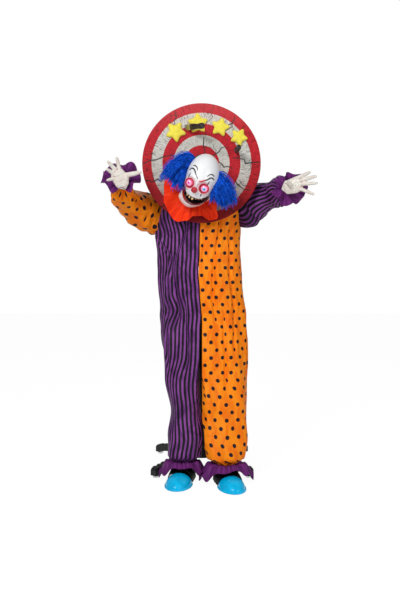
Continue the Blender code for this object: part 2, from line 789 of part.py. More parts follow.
def build_suit(side, mat):
    """A body panel and a trouser leg of one sewn surface, open at neck, armhole and ankle."""
    bm = bmesh.new()
    leg_rows = [[bm.verts.new(point) for point in suit_ring(side, z)] for z in LEG_STEPS]
    for low, high in zip(leg_rows, leg_rows[1:]):
        for i in range(AROUND):
            j = (i + 1) % AROUND
            bm.faces.new((low[i], low[j], high[j], high[i]))
    body = [leg_rows[-1][:SUIT_HALF]]
    for z in TORSO_STEPS:
        body.append([bm.verts.new(point) for point in torso_row(side, z)])
    for low, high in zip(body, body[1:]):
        for i in range(SUIT_HALF - 1):
            bm.faces.new((low[i], low[i + 1], high[i + 1], high[i]))
    if side == "right":
        bmesh.ops.reverse_faces(bm, faces=bm.faces)
    suit = sheet_object("suit_" + side, bm, WALL, -1.0)
    place(suit, mat, ROOT)
    hole = ARMHOLE[side]
    outward = Vector((-1 if side == "right" else 1, 0, 0))
    round_cut = rod_mesh(hole - outward * 0.055, hole + outward * 0.08, ARMHOLE_R, 24)
    cut(suit, round_cut, "armhole_" + side)
    return suit


def sleeve_rows(keys, count, fold, phase):
    """Rings of a sleeve along (centre, radius along the row's own plane, flatness) keys."""
    centres = [key[0] for key in keys]
    rows = []
    for k, (centre, radius, tall) in enumerate(keys):
        before = centres[max(k - 1, 0)]
        after = centres[min(k + 1, len(keys) - 1)]
        along = (after - before).normalized()
        up = Vector((0, 0, 1))
        side = along.cross(up).normalized()
        over = side.cross(along).normalized()
        row = []
        for i in range(count):
            angle = 2 * math.pi * i / count
            lift = fold if k < len(keys) - 1 else 0.0
            ripple = 1.0 + lift * math.sin(6 * angle + phase + 0.9 * k)
            across = side * radius * ripple * math.cos(angle)
            row.append(centre + across + over * tall * ripple * math.sin(angle))
        rows.append(row)
    return rows


def cuff_key(elbow, wrist):
    """A sleeve's last ring, drawn in on the forearm tube just short of the wrist."""
    narrow = ARM_TUBE_R + CUFF_WALL
    return (wrist - (wrist - elbow).normalized() * 0.022, narrow, narrow)


def right_sleeve_keys():
    """Rings as (centre, half width, half height), placed from the arm's own joints."""
    return (
        (SHOULDER_RIGHT + Vector((-0.019, 0.0, -0.048)), 0.070, 0.080),
        (SHOULDER_RIGHT + Vector((-0.057, -0.014, -0.040)), 0.088, 0.096),
        (ELBOW_RIGHT + Vector((0.053, 0.075, 0.004)), 0.088, 0.092),
        (ELBOW_RIGHT + Vector((0.018, 0.025, 0.010)), 0.076, 0.076),
        (ELBOW_RIGHT + Vector((0.006, -0.030, 0.030)), 0.062, 0.062),
        (WRIST_RIGHT + Vector((-0.005, 0.062, -0.032)), 0.046, 0.046),
        cuff_key(ELBOW_RIGHT, WRIST_RIGHT),
    )


def left_sleeve_keys():
    return (
        (SHOULDER_LEFT + Vector((0.002, 0.0, -0.035)), 0.062, 0.072),
        (SHOULDER_LEFT + Vector((0.043, -0.016, -0.009)), 0.070, 0.084),
        (ELBOW_LEFT + Vector((-0.041, 0.062, -0.010)), 0.066, 0.070),
        (ELBOW_LEFT + Vector((-0.011, 0.012, -0.002)), 0.060, 0.060),
        (ELBOW_LEFT + Vector((0.010, -0.038, 0.003)), 0.058, 0.062),
        (WRIST_LEFT + Vector((-0.016, 0.058, 0.001)), 0.040, 0.048),
        cuff_key(ELBOW_LEFT, WRIST_LEFT),
    )


def build_sleeve(name, keys, mat, parent, phase):
    rows = sleeve_rows(keys, 16, 0.06, phase)
    bm = grid_mesh(rows, True)
    bmesh.ops.recalc_face_normals(bm, faces=bm.faces)
    return place(sheet_object(name, bm, WALL * 0.8, -1.0), mat, parent)


def build_collar(parent):
    """A gathered collar that hangs forward and down from the neck, in front of the target."""
    centre = NECK_AT + Vector((0.0, -0.006, 0.0))
    reach_keys = (
        (0.0, 0.085), (40.0, 0.075), (80.0, 0.080), (130.0, 0.105), (165.0, 0.150),
        (185.0, 0.150), (210.0, 0.165), (237.0, 0.180), (252.0, 0.158), (262.0, 0.130), (278.0, 0.128),
        (293.0, 0.160), (303.0, 0.166), (314.0, 0.125), (335.0, 0.090), (360.0, 0.085),
    )
    count = 44
    rows = []
    for t in (0.0, 0.45, 1.0):
        row = []
        for i in range(count):
            degrees = 360.0 * i / count
            angle = math.radians(degrees)
            reach = along_table(reach_keys, degrees)
            radius = lerp(NECK_R + GAP, reach, t)
            wave = 0.011 * t * math.sin(11 * angle) + 0.004 * t * math.sin(17 * angle)
            y = 0.006 * t + wave
            row.append(centre + Vector((radius * math.cos(angle), y, radius * math.sin(angle))))
        rows.append(row)
    bm = grid_mesh(rows, True)
    return place(sheet_object("collar", bm, 0.0018, 0.0), COLLAR_CLOTH, parent)


# The drive in the chest, the target and what is stuck in it


def build_drive():
    front = TARGET_FRONT + TARGET_THICK + GAP
    case_front = -0.092
    size = (0.100, 0.104, 0.104)
    block = box_mesh(size, (TARGET_X, case_front + size[1] / 2, TARGET_Z))
    case = place(mesh_object("drive_case", block), BLACK_PLASTIC, ROOT)
    bevel = case.modifiers.new("edges", "BEVEL")
    bevel.width = 0.006
    bevel.segments = 1
    axis = Vector((TARGET_X, 0, TARGET_Z))
    root = axis + Vector((0, case_front + 0.004, 0))
    join(case, rod_mesh(root, axis + Vector((0, front, 0)), 0.046, 22), "drive_seat")
    nose_end = axis + Vector((0, TARGET_FRONT - 0.004, 0))
    join(case, rod_mesh(root, nose_end, NOSE_R, 22), "drive_nose")
    neck = rod_mesh(Vector((0, 0, 1.350)), Vector((0, 0, TARGET_Z - 0.0455)), 0.022, 18)
    join(case, neck, "drive_neck")
    shaft_end = axis + Vector((0, SHAFT_REAR, 0))
    cut(case, rod_mesh(shaft_end, axis + Vector((0, -0.2, 0)), SHAFT_R + RUN, 18), "shaft_bore")
    mast_low = Vector((0, 0, 1.30))
    mast_end = Vector((0, 0, MAST_TOP + GAP))
    cut(case, rod_mesh(mast_low, mast_end, MAST_R + GAP, 20), "mast_bore")
    motor_at = axis + Vector((0, case_front + size[1] + GAP, 0.012))
    profile = (
        (0.0, 0.0),
        (MOTOR_R - 0.002, 0.0),
        (MOTOR_R, 0.002),
        (MOTOR_R, MOTOR_LENGTH - 0.004),
        (MOTOR_R - 0.004, MOTOR_LENGTH),
        (0.010, MOTOR_LENGTH),
        (0.010, MOTOR_LENGTH + 0.006),
        (0.0, MOTOR_LENGTH + 0.006),
    )
    place(turned("drive_motor", profile, motor_at, (0, 1, 0), 22), ZINC_STEEL, ROOT)


def star_points(radius, inner, turn):
    points = []
    for i in range(10):
        angle = turn + math.pi * i / 5 + math.pi / 2
        reach = radius if i % 2 == 0 else inner
        points.append((reach * math.cos(angle), reach * math.sin(angle)))
    return points


UPRIGHT = Matrix.Rotation(math.pi / 2, 4, "X")


def on_target(across, drop, y):
    """A place on the target: across from its middle and down from its top edge."""
    return Vector((TARGET_X + across, y, TARGET_Z + TARGET_R - drop))


def build_target(parent):
    axis = Vector((TARGET_X, 0, TARGET_Z))
    profile = (
        (NOSE_R + RUN, 0.0),
        (TARGET_R, 0.0),
        (TARGET_R, TARGET_THICK),
        (NOSE_R + RUN, TARGET_THICK),
    )
    disc = turned("target_board", profile, axis + Vector((0, TARGET_FRONT, 0)), (0, 1, 0), 48)
    place(disc, TARGET_BOARD, parent)
    ring = (
        (NOSE_R + RUN, 0.0),
        (WASHER_R, 0.0),
        (WASHER_R, WASHER_THICK),
        (NOSE_R + RUN, WASHER_THICK),
    )
    seat = axis + Vector((0, TARGET_FRONT - WASHER_THICK - GAP, 0))
    hub = turned("target_washer", ring, seat, (0, 1, 0), 22)
    place(hub, BLACK_PLASTIC, parent)
    spots = (
        (-0.116, 0.128, -0.50, STAR_R),
        (-0.016, 0.091, 0.05, STAR_R),
        (0.085, 0.108, -0.25, STAR_R * 0.92),
        (0.169, 0.152, -0.50, STAR_R * 0.86),
    )
    depth = TARGET_FRONT - GAP - STAR_THICK / 2
    for number, (across, drop, lean, size) in enumerate(spots, 1):
        centre = on_target(across, drop, depth)
        outline = star_points(size, size * STAR_WAIST, lean)
        stand = Matrix.Translation(centre) @ UPRIGHT
        star = outline_plate("foam_star_%d" % number, outline, STAR_THICK, stand)
        place(star, YELLOW_FOAM, parent)
    return disc


def build_knife(label, entry, direction, blade_out, disc, parent):
    """A prop knife: a flat blade pressed in the board and a round-ended grip."""
    direction = Vector(direction).normalized()
    across = direction.cross(Vector((0, 0, 1))).normalized()
    lift = across.cross(direction)
    frame = Matrix((
        (direction.x, lift.x, across.x, 0.0),
        (direction.y, lift.y, across.y, 0.0),
        (direction.z, lift.z, across.z, 0.0),
        (0.0, 0.0, 0.0, 1.0),
    ))
    lie = Matrix.Translation(entry) @ frame
    outline = [
        (-BLADE_DEEP, -0.004),
        (-BLADE_DEEP + 0.006, -BLADE_HALF),
        (blade_out, -BLADE_HALF),
        (blade_out, BLADE_HALF),
        (-BLADE_DEEP, BLADE_HALF - 0.003),
    ]
    place(outline_plate("knife_blade_" + label, outline, BLADE_THICK, lie), KNIFE_STEEL, parent)
    room = 0.0004
    tall = BLADE_HALF + 0.0006
    slot_outline = [
        (-BLADE_DEEP - room, -tall),
        (blade_out * 0.5, -tall),
        (blade_out * 0.5, tall),
        (-BLADE_DEEP - room, tall),
    ]
    slot = outline_plate("knife_slot_" + label, slot_outline, BLADE_THICK + 2 * room, lie)
    boolean(disc, helper(slot))
    grip_bm = rod_mesh((0, 0, 0), (0, 0, GRIP_LENGTH), GRIP_R, 16, GRIP_END_R)
    bmesh.ops.scale(grip_bm, vec=(1.0, 0.72, 1.0), verts=grip_bm.verts)
    along = Matrix((
        (lift.x, across.x, direction.x, 0.0),
        (lift.y, across.y, direction.y, 0.0),
        (lift.z, across.z, direction.z, 0.0),
        (0.0, 0.0, 0.0, 1.0),
    ))
    at = Matrix.Translation(entry + direction * (blade_out + GAP))
    bmesh.ops.transform(grip_bm, matrix=at @ along, verts=grip_bm.verts)
    handle = place(mesh_object("knife_grip_" + label, grip_bm), KNIFE_GRIP, parent)
    rounded = handle.modifiers.new("edges", "BEVEL")
    rounded.width = 0.003
    rounded.segments = 1
    rounded.angle_limit = math.radians(40)


# The head


def head_turn():
    return (
        Matrix.Rotation(HEAD_ROLL, 4, "Y")
        @ Matrix.Rotation(HEAD_PITCH, 4, "X")
        @ Matrix.Rotation(HEAD_YAW, 4, "Z")
    )


HEAD_TURN = head_turn()
HEAD_AT = EYE_MID - (HEAD_TURN @ Vector((0.0, -0.073, 0.0)))
HEAD_FRAME = Matrix.Translation(HEAD_AT) @ HEAD_TURN


def skull_point(direction, grow=0.0):
    """The skull's surface in a direction from its middle, with an egg-shaped face below."""
    x, y, z = direction
    tall = SKULL_CROWN - SKULL_MIDDLE if z >= 0 else SKULL_MIDDLE - CHIN_Z
    low = max(-z, 0.0)
    width = SKULL_HALF_WIDTH * (1.0 - 0.20 * low ** 1.7)
    front = SKULL_HALF_DEPTH * (1.0 - 0.10 * low ** 2.0)
    back = SKULL_HALF_DEPTH * (1.0 - 0.42 * low ** 1.5)
    deep = front if y < 0 else back
    brow = 0.004 * math.exp(-((z + 0.02) / 0.12) ** 2) if y < 0 else 0.0
    ahead = y * (deep + grow) - brow * max(-y, 0.0)
    lean = SKULL_LEAN * max(z, 0.0)
    return Vector((x * (width + grow) - lean, ahead, z * (tall + grow) + SKULL_MIDDLE))


def skull_side(y, z):
    """How far the side of the skull lies from its middle plane, at a depth and a height."""
    down = (SKULL_MIDDLE - z) / (SKULL_MIDDLE - CHIN_Z)
    width = SKULL_HALF_WIDTH * (1.0 - 0.20 * down ** 1.7)
    deep = SKULL_HALF_DEPTH * (1.0 - 0.10 * down ** 2.0)
    return width * math.sqrt(1.0 - down ** 2 - (y / deep) ** 2)


def skull_mesh(grow=0.0, sides=24, rings=13):
    bm = bmesh.new()
    bmesh.ops.create_uvsphere(bm, u_segments=sides, v_segments=rings, radius=1.0)
    for vert in bm.verts:
        vert.co = skull_point(vert.co.copy(), grow)
    return bm


def open_half(bm, co, no):
    everything = list(bm.verts) + list(bm.edges) + list(bm.faces)
    bmesh.ops.bisect_plane(bm, geom=everything, plane_co=co, plane_no=no, clear_outer=True)


def lip_height(x):
    """The upper lip's curve: a wide grin that rises to the corners of the mouth."""
    return LIP_MIDDLE + 0.0175 * (abs(x) / 0.055) ** 2.0


def build_head(parent):
    face_bm = skull_mesh()
    open_half(face_bm, (0, SEAM_AT - 0.0005, 0), (0, 1, 0))
    bmesh.ops.transform(face_bm, matrix=HEAD_FRAME, verts=face_bm.verts)
    face = place(sheet_object("face_mask", face_bm, MASK_WALL, -1.0), WHITE_MASK, parent)
    below = box_mesh((0.30, 0.17, 0.30), (0.0, 0.0593, JAW_PIVOT.z - 0.0132 - 0.15))
    bmesh.ops.transform(below, matrix=HEAD_FRAME, verts=below.verts)
    cut(face, below, "mask_lower_cut")
    outline = [(-0.12, -0.20), (0.12, -0.20), (0.12, lip_height(0.066))]
    steps = 12
    for i in range(steps + 1):
        x = 0.066 - 0.132 * i / steps
        outline.append((x, lip_height(x)))
    outline.append((-0.12, lip_height(0.066)))
    stand = HEAD_FRAME @ Matrix.Translation((0, -0.105, 0)) @ UPRIGHT
    boolean(face, helper(outline_plate("mouth_cut", outline, 0.16, stand)))
    inside = helper(mesh_object("skull_inside", skull_solid(-0.001)))
    for side in (-1, 1):
        label = "right" if side < 0 else "left"
        deep = HEAD_FRAME @ Vector((side * EYE_SPACING, EYE_PLANE + 0.010, 0.0))
        rear = HEAD_FRAME @ Vector((side * EYE_SPACING, EYE_PLANE + 0.024, 0.0))
        stop = HEAD_FRAME @ Vector((side * EYE_SPACING, EYE_PLANE - 0.0092, 0.0))
        front = HEAD_FRAME @ Vector((side * EYE_SPACING, -0.078, 0.0))
        end = HEAD_FRAME @ Vector((side * EYE_SPACING, -0.15, 0.0))
        cup = helper(mesh_object("eye_cup_" + label, rod_mesh(deep, front, EYE_R + 0.0030, 14)))
        boolean(cup, inside, "INTERSECT")
        boolean(face, cup, "UNION")
        cut(face, rod_mesh(rear, stop, EYE_R + 0.0009, 14), "eye_room_" + label)
        cut(face, rod_mesh(stop, end, EYE_HOLE_R, 16), "eye_hole_" + label)
    pin_side = Vector((0.12, 0.0, 0.0))
    pin_right = HEAD_FRAME @ (JAW_PIVOT - pin_side)
    pin_left = HEAD_FRAME @ (JAW_PIVOT + pin_side)
    cut(face, rod_mesh(pin_right, pin_left, JAW_PIN_R + RUN, 12), "jaw_pin_bore")

    back_bm = skull_mesh(0.0, 20, 11)
    open_half(back_bm, (0, SEAM_AT + 0.0005, 0), (0, -1, 0))
    bmesh.ops.transform(back_bm, matrix=HEAD_FRAME, verts=back_bm.verts)
    back = place(sheet_object("head_back", back_bm, MASK_WALL, -1.0), HEAD_SHELL, parent)
    pivot = Vector((TARGET_X, 0, TARGET_Z))
    neck = rod_mesh(NECK_AT, NECK_AT + Vector((0, -0.040, 0)), NECK_R, 20)
    join(back, neck, "neck_boss")
    bore_rear = pivot + Vector((0, -0.15, 0))
    bore_front = pivot + Vector((0, -0.30, 0))
    cut(back, rod_mesh(bore_rear, bore_front, SHAFT_R + GAP, 16), "head_bore")

    rod = rod_mesh(
        pivot + Vector((0, SHAFT_REAR - GAP, 0)), pivot + Vector((0, -0.277, 0)), SHAFT_R, 16
    )
    shaft = place(mesh_object("head_shaft", rod), ZINC_STEEL, parent)
    flange_at = pivot + Vector((0, TARGET_FRONT - 0.010, 0))
    join(shaft, rod_mesh(flange_at, flange_at + Vector((0, -0.006, 0)), 0.018, 18), "shaft_flange")


def flare(bm, start, full, clear=False):
    """Spreads the chin's sides and hangs it askew, below a height, or makes room for that."""
    for vert in bm.verts:
        below = smooth_step((start - vert.co.z) / (start - full))
        side = smooth_step(abs(vert.co.x) / 0.040)
        skew = 0.0 if clear and vert.co.x > 0.0 else JAW_SKEW
        vert.co.x += math.copysign(JAW_FLARE * below * side, vert.co.x) - skew * below
    return bm


def build_jaw(parent):
    """A shell round the chin, with two arms back to the hinge inside the cheeks."""
    jaw_bm = flare(skull_mesh(JAW_CLEAR), -0.046, -0.078)
    open_half(jaw_bm, (0, 0.012, 0), (0, 1, 0))
    bmesh.ops.transform(jaw_bm, matrix=HEAD_FRAME, verts=jaw_bm.verts)
    jaw = place(sheet_object("jaw", jaw_bm, JAW_WALL, 1.0), JAW_SKIN, parent)
    outline = [(-0.12, 0.30), (-0.12, -0.028), (-0.064, -0.028)]
    steps = 10
    for i in range(steps + 1):
        x = -0.060 + 0.120 * i / steps
        outline.append((x, -0.0860 + 0.047 * (abs(x) / 0.060) ** 2.4))
    outline += [(0.064, -0.028), (0.12, -0.028), (0.12, 0.30)]
    above = outline_plate(
        "jaw_top_cut", outline, 0.24,
        HEAD_FRAME @ Matrix.Translation((0, -0.05, 0)) @ UPRIGHT,
    )
    boolean(jaw, helper(above))
    shell_x = abs(skull_side(JAW_PIVOT.y, JAW_PIVOT.z))
    for side in (-1, 1):
        outer = JAW_PIVOT + Vector((side * (shell_x + JAW_CLEAR + 0.0015), 0, 0))
        inner = JAW_PIVOT + Vector((side * (shell_x - MASK_WALL - 0.003), 0, 0))
        pin = rod_mesh(HEAD_FRAME @ outer, HEAD_FRAME @ inner, JAW_PIN_R, 12)
        join(jaw, pin, "jaw_pin_%s" % ("right" if side < 0 else "left"))
    return jaw


def build_face_parts(parent):
    cutter = helper(mesh_object("skull_room", skull_solid(GAP)))
    for side, label in ((-1, "right"), (1, "left")):
        at = Vector((side * EYE_SPACING, EYE_PLANE, 0.0))
        ball = ball_mesh(at, (EYE_R, EYE_R, EYE_R), 8, 12, turn_to((0, -1, 0)))
        bmesh.ops.transform(ball, matrix=HEAD_FRAME, verts=ball.verts)
        place(mesh_object("eye_" + label, ball), EYE, parent)
    nose_bm = ball_mesh((0.0, -0.0815 - NOSE_BALL_R * 0.5, -0.014), (NOSE_BALL_R,) * 3, 7, 12)
    bmesh.ops.transform(nose_bm, matrix=HEAD_FRAME, verts=nose_bm.verts)
    nose = place(mesh_object("nose", nose_bm), NOSE_RED, parent)
    boolean(nose, cutter)
    build_teeth(parent)
    build_hair(parent, helper(mesh_object("hair_room", skull_solid(0.0012))))


def skull_solid(grow):
    bm = skull_mesh(grow)
    bmesh.ops.transform(bm, matrix=HEAD_FRAME, verts=bm.verts)
    return bm


TEETH = (
    (-0.031, 0.0075, 0.011), (-0.017, 0.009, 0.016), (-0.002, 0.011, 0.021),
    (0.012, 0.007, 0.011), (0.024, 0.006, 0.009), (0.035, 0.005, 0.007),
)


def gum_front(x):
    return -0.0592 * math.sqrt(1.0 - (x / 0.0490) ** 2)


def build_teeth(parent):
    """A curved gum bar behind the upper lip with six spaced teeth."""
    route = []
    for i in range(9):
        x = -0.038 + 0.076 * i / 8
        route.append((x, gum_front(x)))
    inner = [(x * 0.86, y + 0.009) for x, y in reversed(route)]
    bar = outline_plate(
        "teeth", route + inner, 0.010,
        HEAD_FRAME @ Matrix.Translation((0, 0, -0.049)),
    )
    place(bar, TOOTH, parent)
    for number, (x, wide, tall) in enumerate(TEETH):
        tooth = box_mesh((wide, 0.0055, tall), (x, gum_front(x) + 0.004, -0.052 - tall / 2))
        bmesh.ops.transform(tooth, matrix=HEAD_FRAME, verts=tooth.verts)
        join(bar, tooth, "tooth_%d" % number)


def build_hair(parent, cutter):
    """Two side tufts that puff out of the temples and hang down."""
    room_bm = flare(skull_mesh(JAW_CLEAR + JAW_WALL + 0.0040), -0.022, -0.050, True)
    everything = list(room_bm.verts) + list(room_bm.edges) + list(room_bm.faces)
    below = bmesh.ops.bisect_plane(
        room_bm, geom=everything, plane_co=(0, 0, -0.020), plane_no=(0, 0, 1), clear_outer=True
    )
    rim = [edge for edge in below["geom_cut"] if isinstance(edge, bmesh.types.BMEdge)]
    bmesh.ops.contextual_create(room_bm, geom=rim)
    bmesh.ops.transform(room_bm, matrix=HEAD_FRAME, verts=room_bm.verts)
    jaw_room = helper(mesh_object("jaw_room", room_bm))
    right = (
        ((-0.098, -0.262, 1.405), (0.060, 0.040, 0.042)),
        ((-0.122, -0.262, 1.368), (0.060, 0.042, 0.052)),
        ((-0.108, -0.262, 1.335), (0.046, 0.036, 0.046)),
    )
    left = (
        ((0.092, -0.252, 1.338), (0.040, 0.040, 0.044)),
        ((0.098, -0.250, 1.295), (0.054, 0.042, 0.056)),
        ((0.094, -0.250, 1.258), (0.056, 0.040, 0.044)),
    )
    for label, lumps in (("right", right), ("left", left)):
        at, radii = lumps[1]
        tuft = place(mesh_object("hair_" + label, ball_mesh(at, radii, 8, 14)), BLUE_HAIR, parent)
        for number in (0, 2):
            at, radii = lumps[number]
            join(tuft, ball_mesh(at, radii, 7, 12), "hair_lump_%s_%d" % (label, number))
        boolean(tuft, cutter)
        boolean(tuft, jaw_room)


# The arms: upper tube, elbow knuckle, forearm tube and hand


def across_of(a, b, c):
    return (b - a).cross(c - b).normalized()


EYE_LUG_R = 0.0150
LUG_HALF = 0.006
PIN_R = 0.0048


def add_lug(target, at, inward, pin_axis, label):
    """The flat eye of a knuckle, on a tongue that runs back to its tube."""
    tongue = box_like(at + inward * 0.004, inward, pin_axis, 0.024, 0.0185, 2 * LUG_HALF - 0.0004)
    join(target, tongue, "tongue_" + label)
    half = pin_axis * LUG_HALF
    join(target, rod_mesh(at - half, at + half, EYE_LUG_R, 12), "eye_" + label)
    reach = pin_axis * 0.02
    cut(target, rod_mesh(at - reach, at + reach, PIN_R + RUN, 12), "eye_bore_" + label)


def add_fork(target, at, inward, pin_axis, label):
    """The two ears and the pin of a knuckle, on a bridge that runs back to its tube."""
    for sign in (-1, 1):
        near = at + pin_axis * sign * (LUG_HALF + RUN)
        far = at + pin_axis * sign * 0.0123
        join(target, rod_mesh(near, far, 0.0145, 12), "ear_%s_%d" % (label, sign))
        root = at + pin_axis * sign * 0.0094 + inward * 0.002
        strap = box_like(root, inward, pin_axis, 0.030, 0.020, 0.0050)
        join(target, strap, "strap_%s_%d" % (label, sign))
    bridge = box_like(at + inward * 0.0190, inward, pin_axis, 0.0140, 0.0205, 0.0250)
    join(target, bridge, "bridge_" + label)
    half = pin_axis * 0.0100
    join(target, rod_mesh(at - half, at + half, PIN_R, 12), "pin_" + label)


def shoulder_pin_axis(shoulder, elbow):
    """The hinge that raises and lowers the arm: front to back, square to the upper arm."""
    way = (elbow - shoulder).normalized()
    front = Vector((0.0, -1.0, 0.0))
    return (front - way * front.dot(way)).normalized()


def build_arm(side, shoulder, elbow, wrist, upper_body, fore_body):
    upper_way = (elbow - shoulder).normalized()
    fore_way = (wrist - elbow).normalized()
    elbow_axis = across_of(shoulder, elbow, wrist)
    tube = rod_mesh(shoulder + upper_way * 0.022, elbow - upper_way * 0.022, ARM_TUBE_R, 12)
    upper = place(mesh_object("upper_arm_" + side, tube), BLACK_STEEL, upper_body)
    add_lug(upper, shoulder, upper_way, shoulder_pin_axis(shoulder, elbow), "shoulder_" + side)
    add_lug(upper, elbow, -upper_way, elbow_axis, "elbow_" + side)
    fore_tube = rod_mesh(elbow + fore_way * 0.026, wrist, ARM_TUBE_R, 12)
    fore = place(mesh_object("forearm_" + side, fore_tube), BLACK_STEEL, fore_body)
    add_fork(fore, elbow, fore_way, elbow_axis, "elbow_" + side)


def box_like(start, along, across, length, tall, wide):
    """A block that starts at a point, runs along one way and is wide across another."""
    up = across.cross(along).normalized()
    middle = start + along * (length / 2)
    spin = Matrix((
        (along.x, up.x, across.x, 0.0),
        (along.y, up.y, across.y, 0.0),
        (along.z, up.z, across.z, 0.0),
        (0.0, 0.0, 0.0, 1.0),
    ))
    return box_mesh((length, tall, wide), middle, spin)


def finger_mesh(points, radii, sides=8):
    """A tapered, bent finger as rings round a line, closed at both ends."""
    bm = bmesh.new()
    rings = []
    for k, (point, radius) in enumerate(zip(points, radii)):
        before = points[max(k - 1, 0)]
        after = points[min(k + 1, len(points) - 1)]
        way = (after - before).normalized()
        spin = turn_to(way)
        ring = []
        for i in range(sides):
            angle = 2 * math.pi * i / sides
            out = Vector((radius * math.cos(angle), radius * math.sin(angle), 0.0))
            ring.append(bm.verts.new(point + spin @ out))
        rings.append(ring)
    for low, high in zip(rings, rings[1:]):
        for i in range(sides):
            j = (i + 1) % sides
            bm.faces.new((low[i], low[j], high[j], high[i]))
    bm.faces.new(list(reversed(rings[0])))
    bm.faces.new(rings[-1])
    bmesh.ops.recalc_face_normals(bm, faces=bm.faces)
    return bm


# The hands' plans: places measured from the wrist, and each finger as root, tip and radius

HAND_RIGHT = {
    "heel": (0.0030, -0.0340, -0.0060),
    "knuckles": (-0.0270, -0.0500, 0.0580),
    "fingers": (
        ((-0.0110, -0.0500, 0.0640), (-0.0197, -0.0680, 0.1080), 0.0085),
        ((-0.0270, -0.0510, 0.0560), (-0.0580, -0.0730, 0.0910), 0.0088),
        ((-0.0340, -0.0500, 0.0400), (-0.0620, -0.0730, 0.0580), 0.0085),
        ((-0.0330, -0.0460, 0.0200), (-0.0615, -0.0680, 0.0110), 0.0078),
        ((0.0170, -0.0410, 0.0340), (0.0830, -0.0700, 0.0450), 0.0108),
    ),
}
HAND_LEFT = {
    "heel": (0.0000, -0.0350, 0.0010),
    "knuckles": (0.0640, -0.0620, 0.0170),
    "fingers": (
        ((0.0530, -0.0600, 0.0440), (0.0950, -0.0870, 0.0635), 0.0085),
        ((0.0620, -0.0630, 0.0310), (0.1200, -0.0940, 0.0450), 0.0088),
        ((0.0640, -0.0640, 0.0150), (0.1245, -0.0940, 0.0160), 0.0085),
        ((0.0600, -0.0600, -0.0070), (0.1120, -0.0870, -0.0320), 0.0078),
        ((0.0280, -0.0500, 0.0020), (-0.0100, -0.0920, 0.0220), 0.0108),
    ),
}


def build_hand(side, plan, wrist, fore_way, parent):
    """A palm slab, five tapered fingers and a wrist stub that meets the forearm tube's end."""
    heel = wrist + Vector(plan["heel"])
    knuckles = wrist + Vector(plan["knuckles"])
    middle = (heel + knuckles) / 2
    toward = (knuckles - heel).normalized()
    facing = Vector((0, -1, 0))
    normal = (facing - toward * facing.dot(toward)).normalized()
    across = toward.cross(normal).normalized()
    hand_bm = bmesh.new()
    bmesh.ops.create_cube(hand_bm, size=1.0)
    spin = Matrix((
        (across.x, toward.x, normal.x, 0.0),
        (across.y, toward.y, normal.y, 0.0),
        (across.z, toward.z, normal.z, 0.0),
        (0.0, 0.0, 0.0, 1.0),
    ))
    length = (knuckles - heel).length
    for vert in hand_bm.verts:
        end = 0.5 - vert.co.y
        vert.co.x *= lerp(PALM_WIDTH, PALM_WIDTH * 0.62, end)
        vert.co.y *= length
        vert.co.z *= lerp(PALM_THICK, HEEL_THICK, end)
    bmesh.ops.transform(hand_bm, matrix=Matrix.Translation(middle) @ spin, verts=hand_bm.verts)
    hand = mesh_object("hand_" + side, hand_bm)
    place(hand, HAND_SKIN, parent)
    soft = hand.modifiers.new("round", "BEVEL")
    soft.width = 0.0085
    soft.segments = 1
    for number, (root, tip, fat) in enumerate(plan["fingers"]):
        root = wrist + Vector(root)
        tip = wrist + Vector(tip)
        points = []
        radii = []
        for t in (-0.25, 0.3, 0.65, 0.9, 1.0):
            points.append(lerp(root, tip, t) - normal * 0.004 * math.sin(math.pi * t))
            radii.append(fat * (1.0 - 0.20 * t))
        radii[-1] *= 0.55
        join(hand, finger_mesh(points, radii, 6), "finger_%s_%d" % (side, number))
    start = wrist + fore_way * GAP
    turn = wrist + fore_way * 0.016
    join(hand, rod_mesh(start, turn, WRIST_STUB_R, 14), "wrist_stub_" + side)
    root = turn - (middle - turn).normalized() * 0.004
    join(hand, rod_mesh(root, middle, WRIST_STUB_R - 0.0005, 14, 0.013), "wrist_root_" + side)
    return hand


YOKE_Z = 1.322
YOKE_THICK = 0.004
YOKE_UNDER = 0.0038
YOKE_INSET = 0.0024


def yoke_outline():
    """The rim of the yoke: the costume's own section there, read from its rows just above and below."""
    low, high = TORSO_STEPS[-2:]
    t = (YOKE_Z + YOKE_UNDER - low) / (high - low)
    rim = {}
    for side in ("right", "left"):
        below = torso_row(side, low)
        above = torso_row(side, high)
        rim[side] = [lerp(a, b, t) for a, b in zip(below, above)]
    loop = rim["left"][:-1] + list(reversed(rim["right"]))[:-1]
    outline = []
    for point in loop[1:]:
        inset = min(YOKE_INSET, abs(point.y))
        outline.append((point.x, point.y - math.copysign(inset, point.y)))
    return outline


def build_shoulders():
    at = Vector((0, 0, SHOULDER_Z))
    bar = place(mesh_object("shoulder_bar", box_mesh((0.044, 0.044, 0.046), at)), BLACK_PLASTIC, ROOT)
    arms = (("right", SHOULDER_RIGHT, ELBOW_RIGHT), ("left", SHOULDER_LEFT, ELBOW_LEFT))
    for side, shoulder, elbow in arms:
        sign = -1.0 if side == "right" else 1.0
        inward = (shoulder - elbow).normalized()
        end = shoulder + inward * 0.028
        start = at + Vector((sign * 0.019, 0.0, 0.0))
        join(bar, rod_mesh(start, end, ARM_TUBE_R + 0.0017, 12), "shoulder_tube_" + side)
        add_fork(bar, shoulder, inward, shoulder_pin_axis(shoulder, elbow), "shoulder_" + side)
    plate_at = Vector((0, 0, YOKE_Z - YOKE_THICK / 2))
    join(bar, rod_mesh(at, plate_at, 0.0205, 14), "yoke_post")
    yoke = outline_plate("yoke_plate", yoke_outline(), YOKE_THICK, Matrix.Translation(plate_at))
    boolean(bar, helper(yoke), "UNION")
    bore = rod_mesh(at + Vector((0, 0, -0.1)), at + Vector((0, 0, 0.1)), MAST_R + GAP, 20)
    cut(bar, bore, "shoulder_bore")


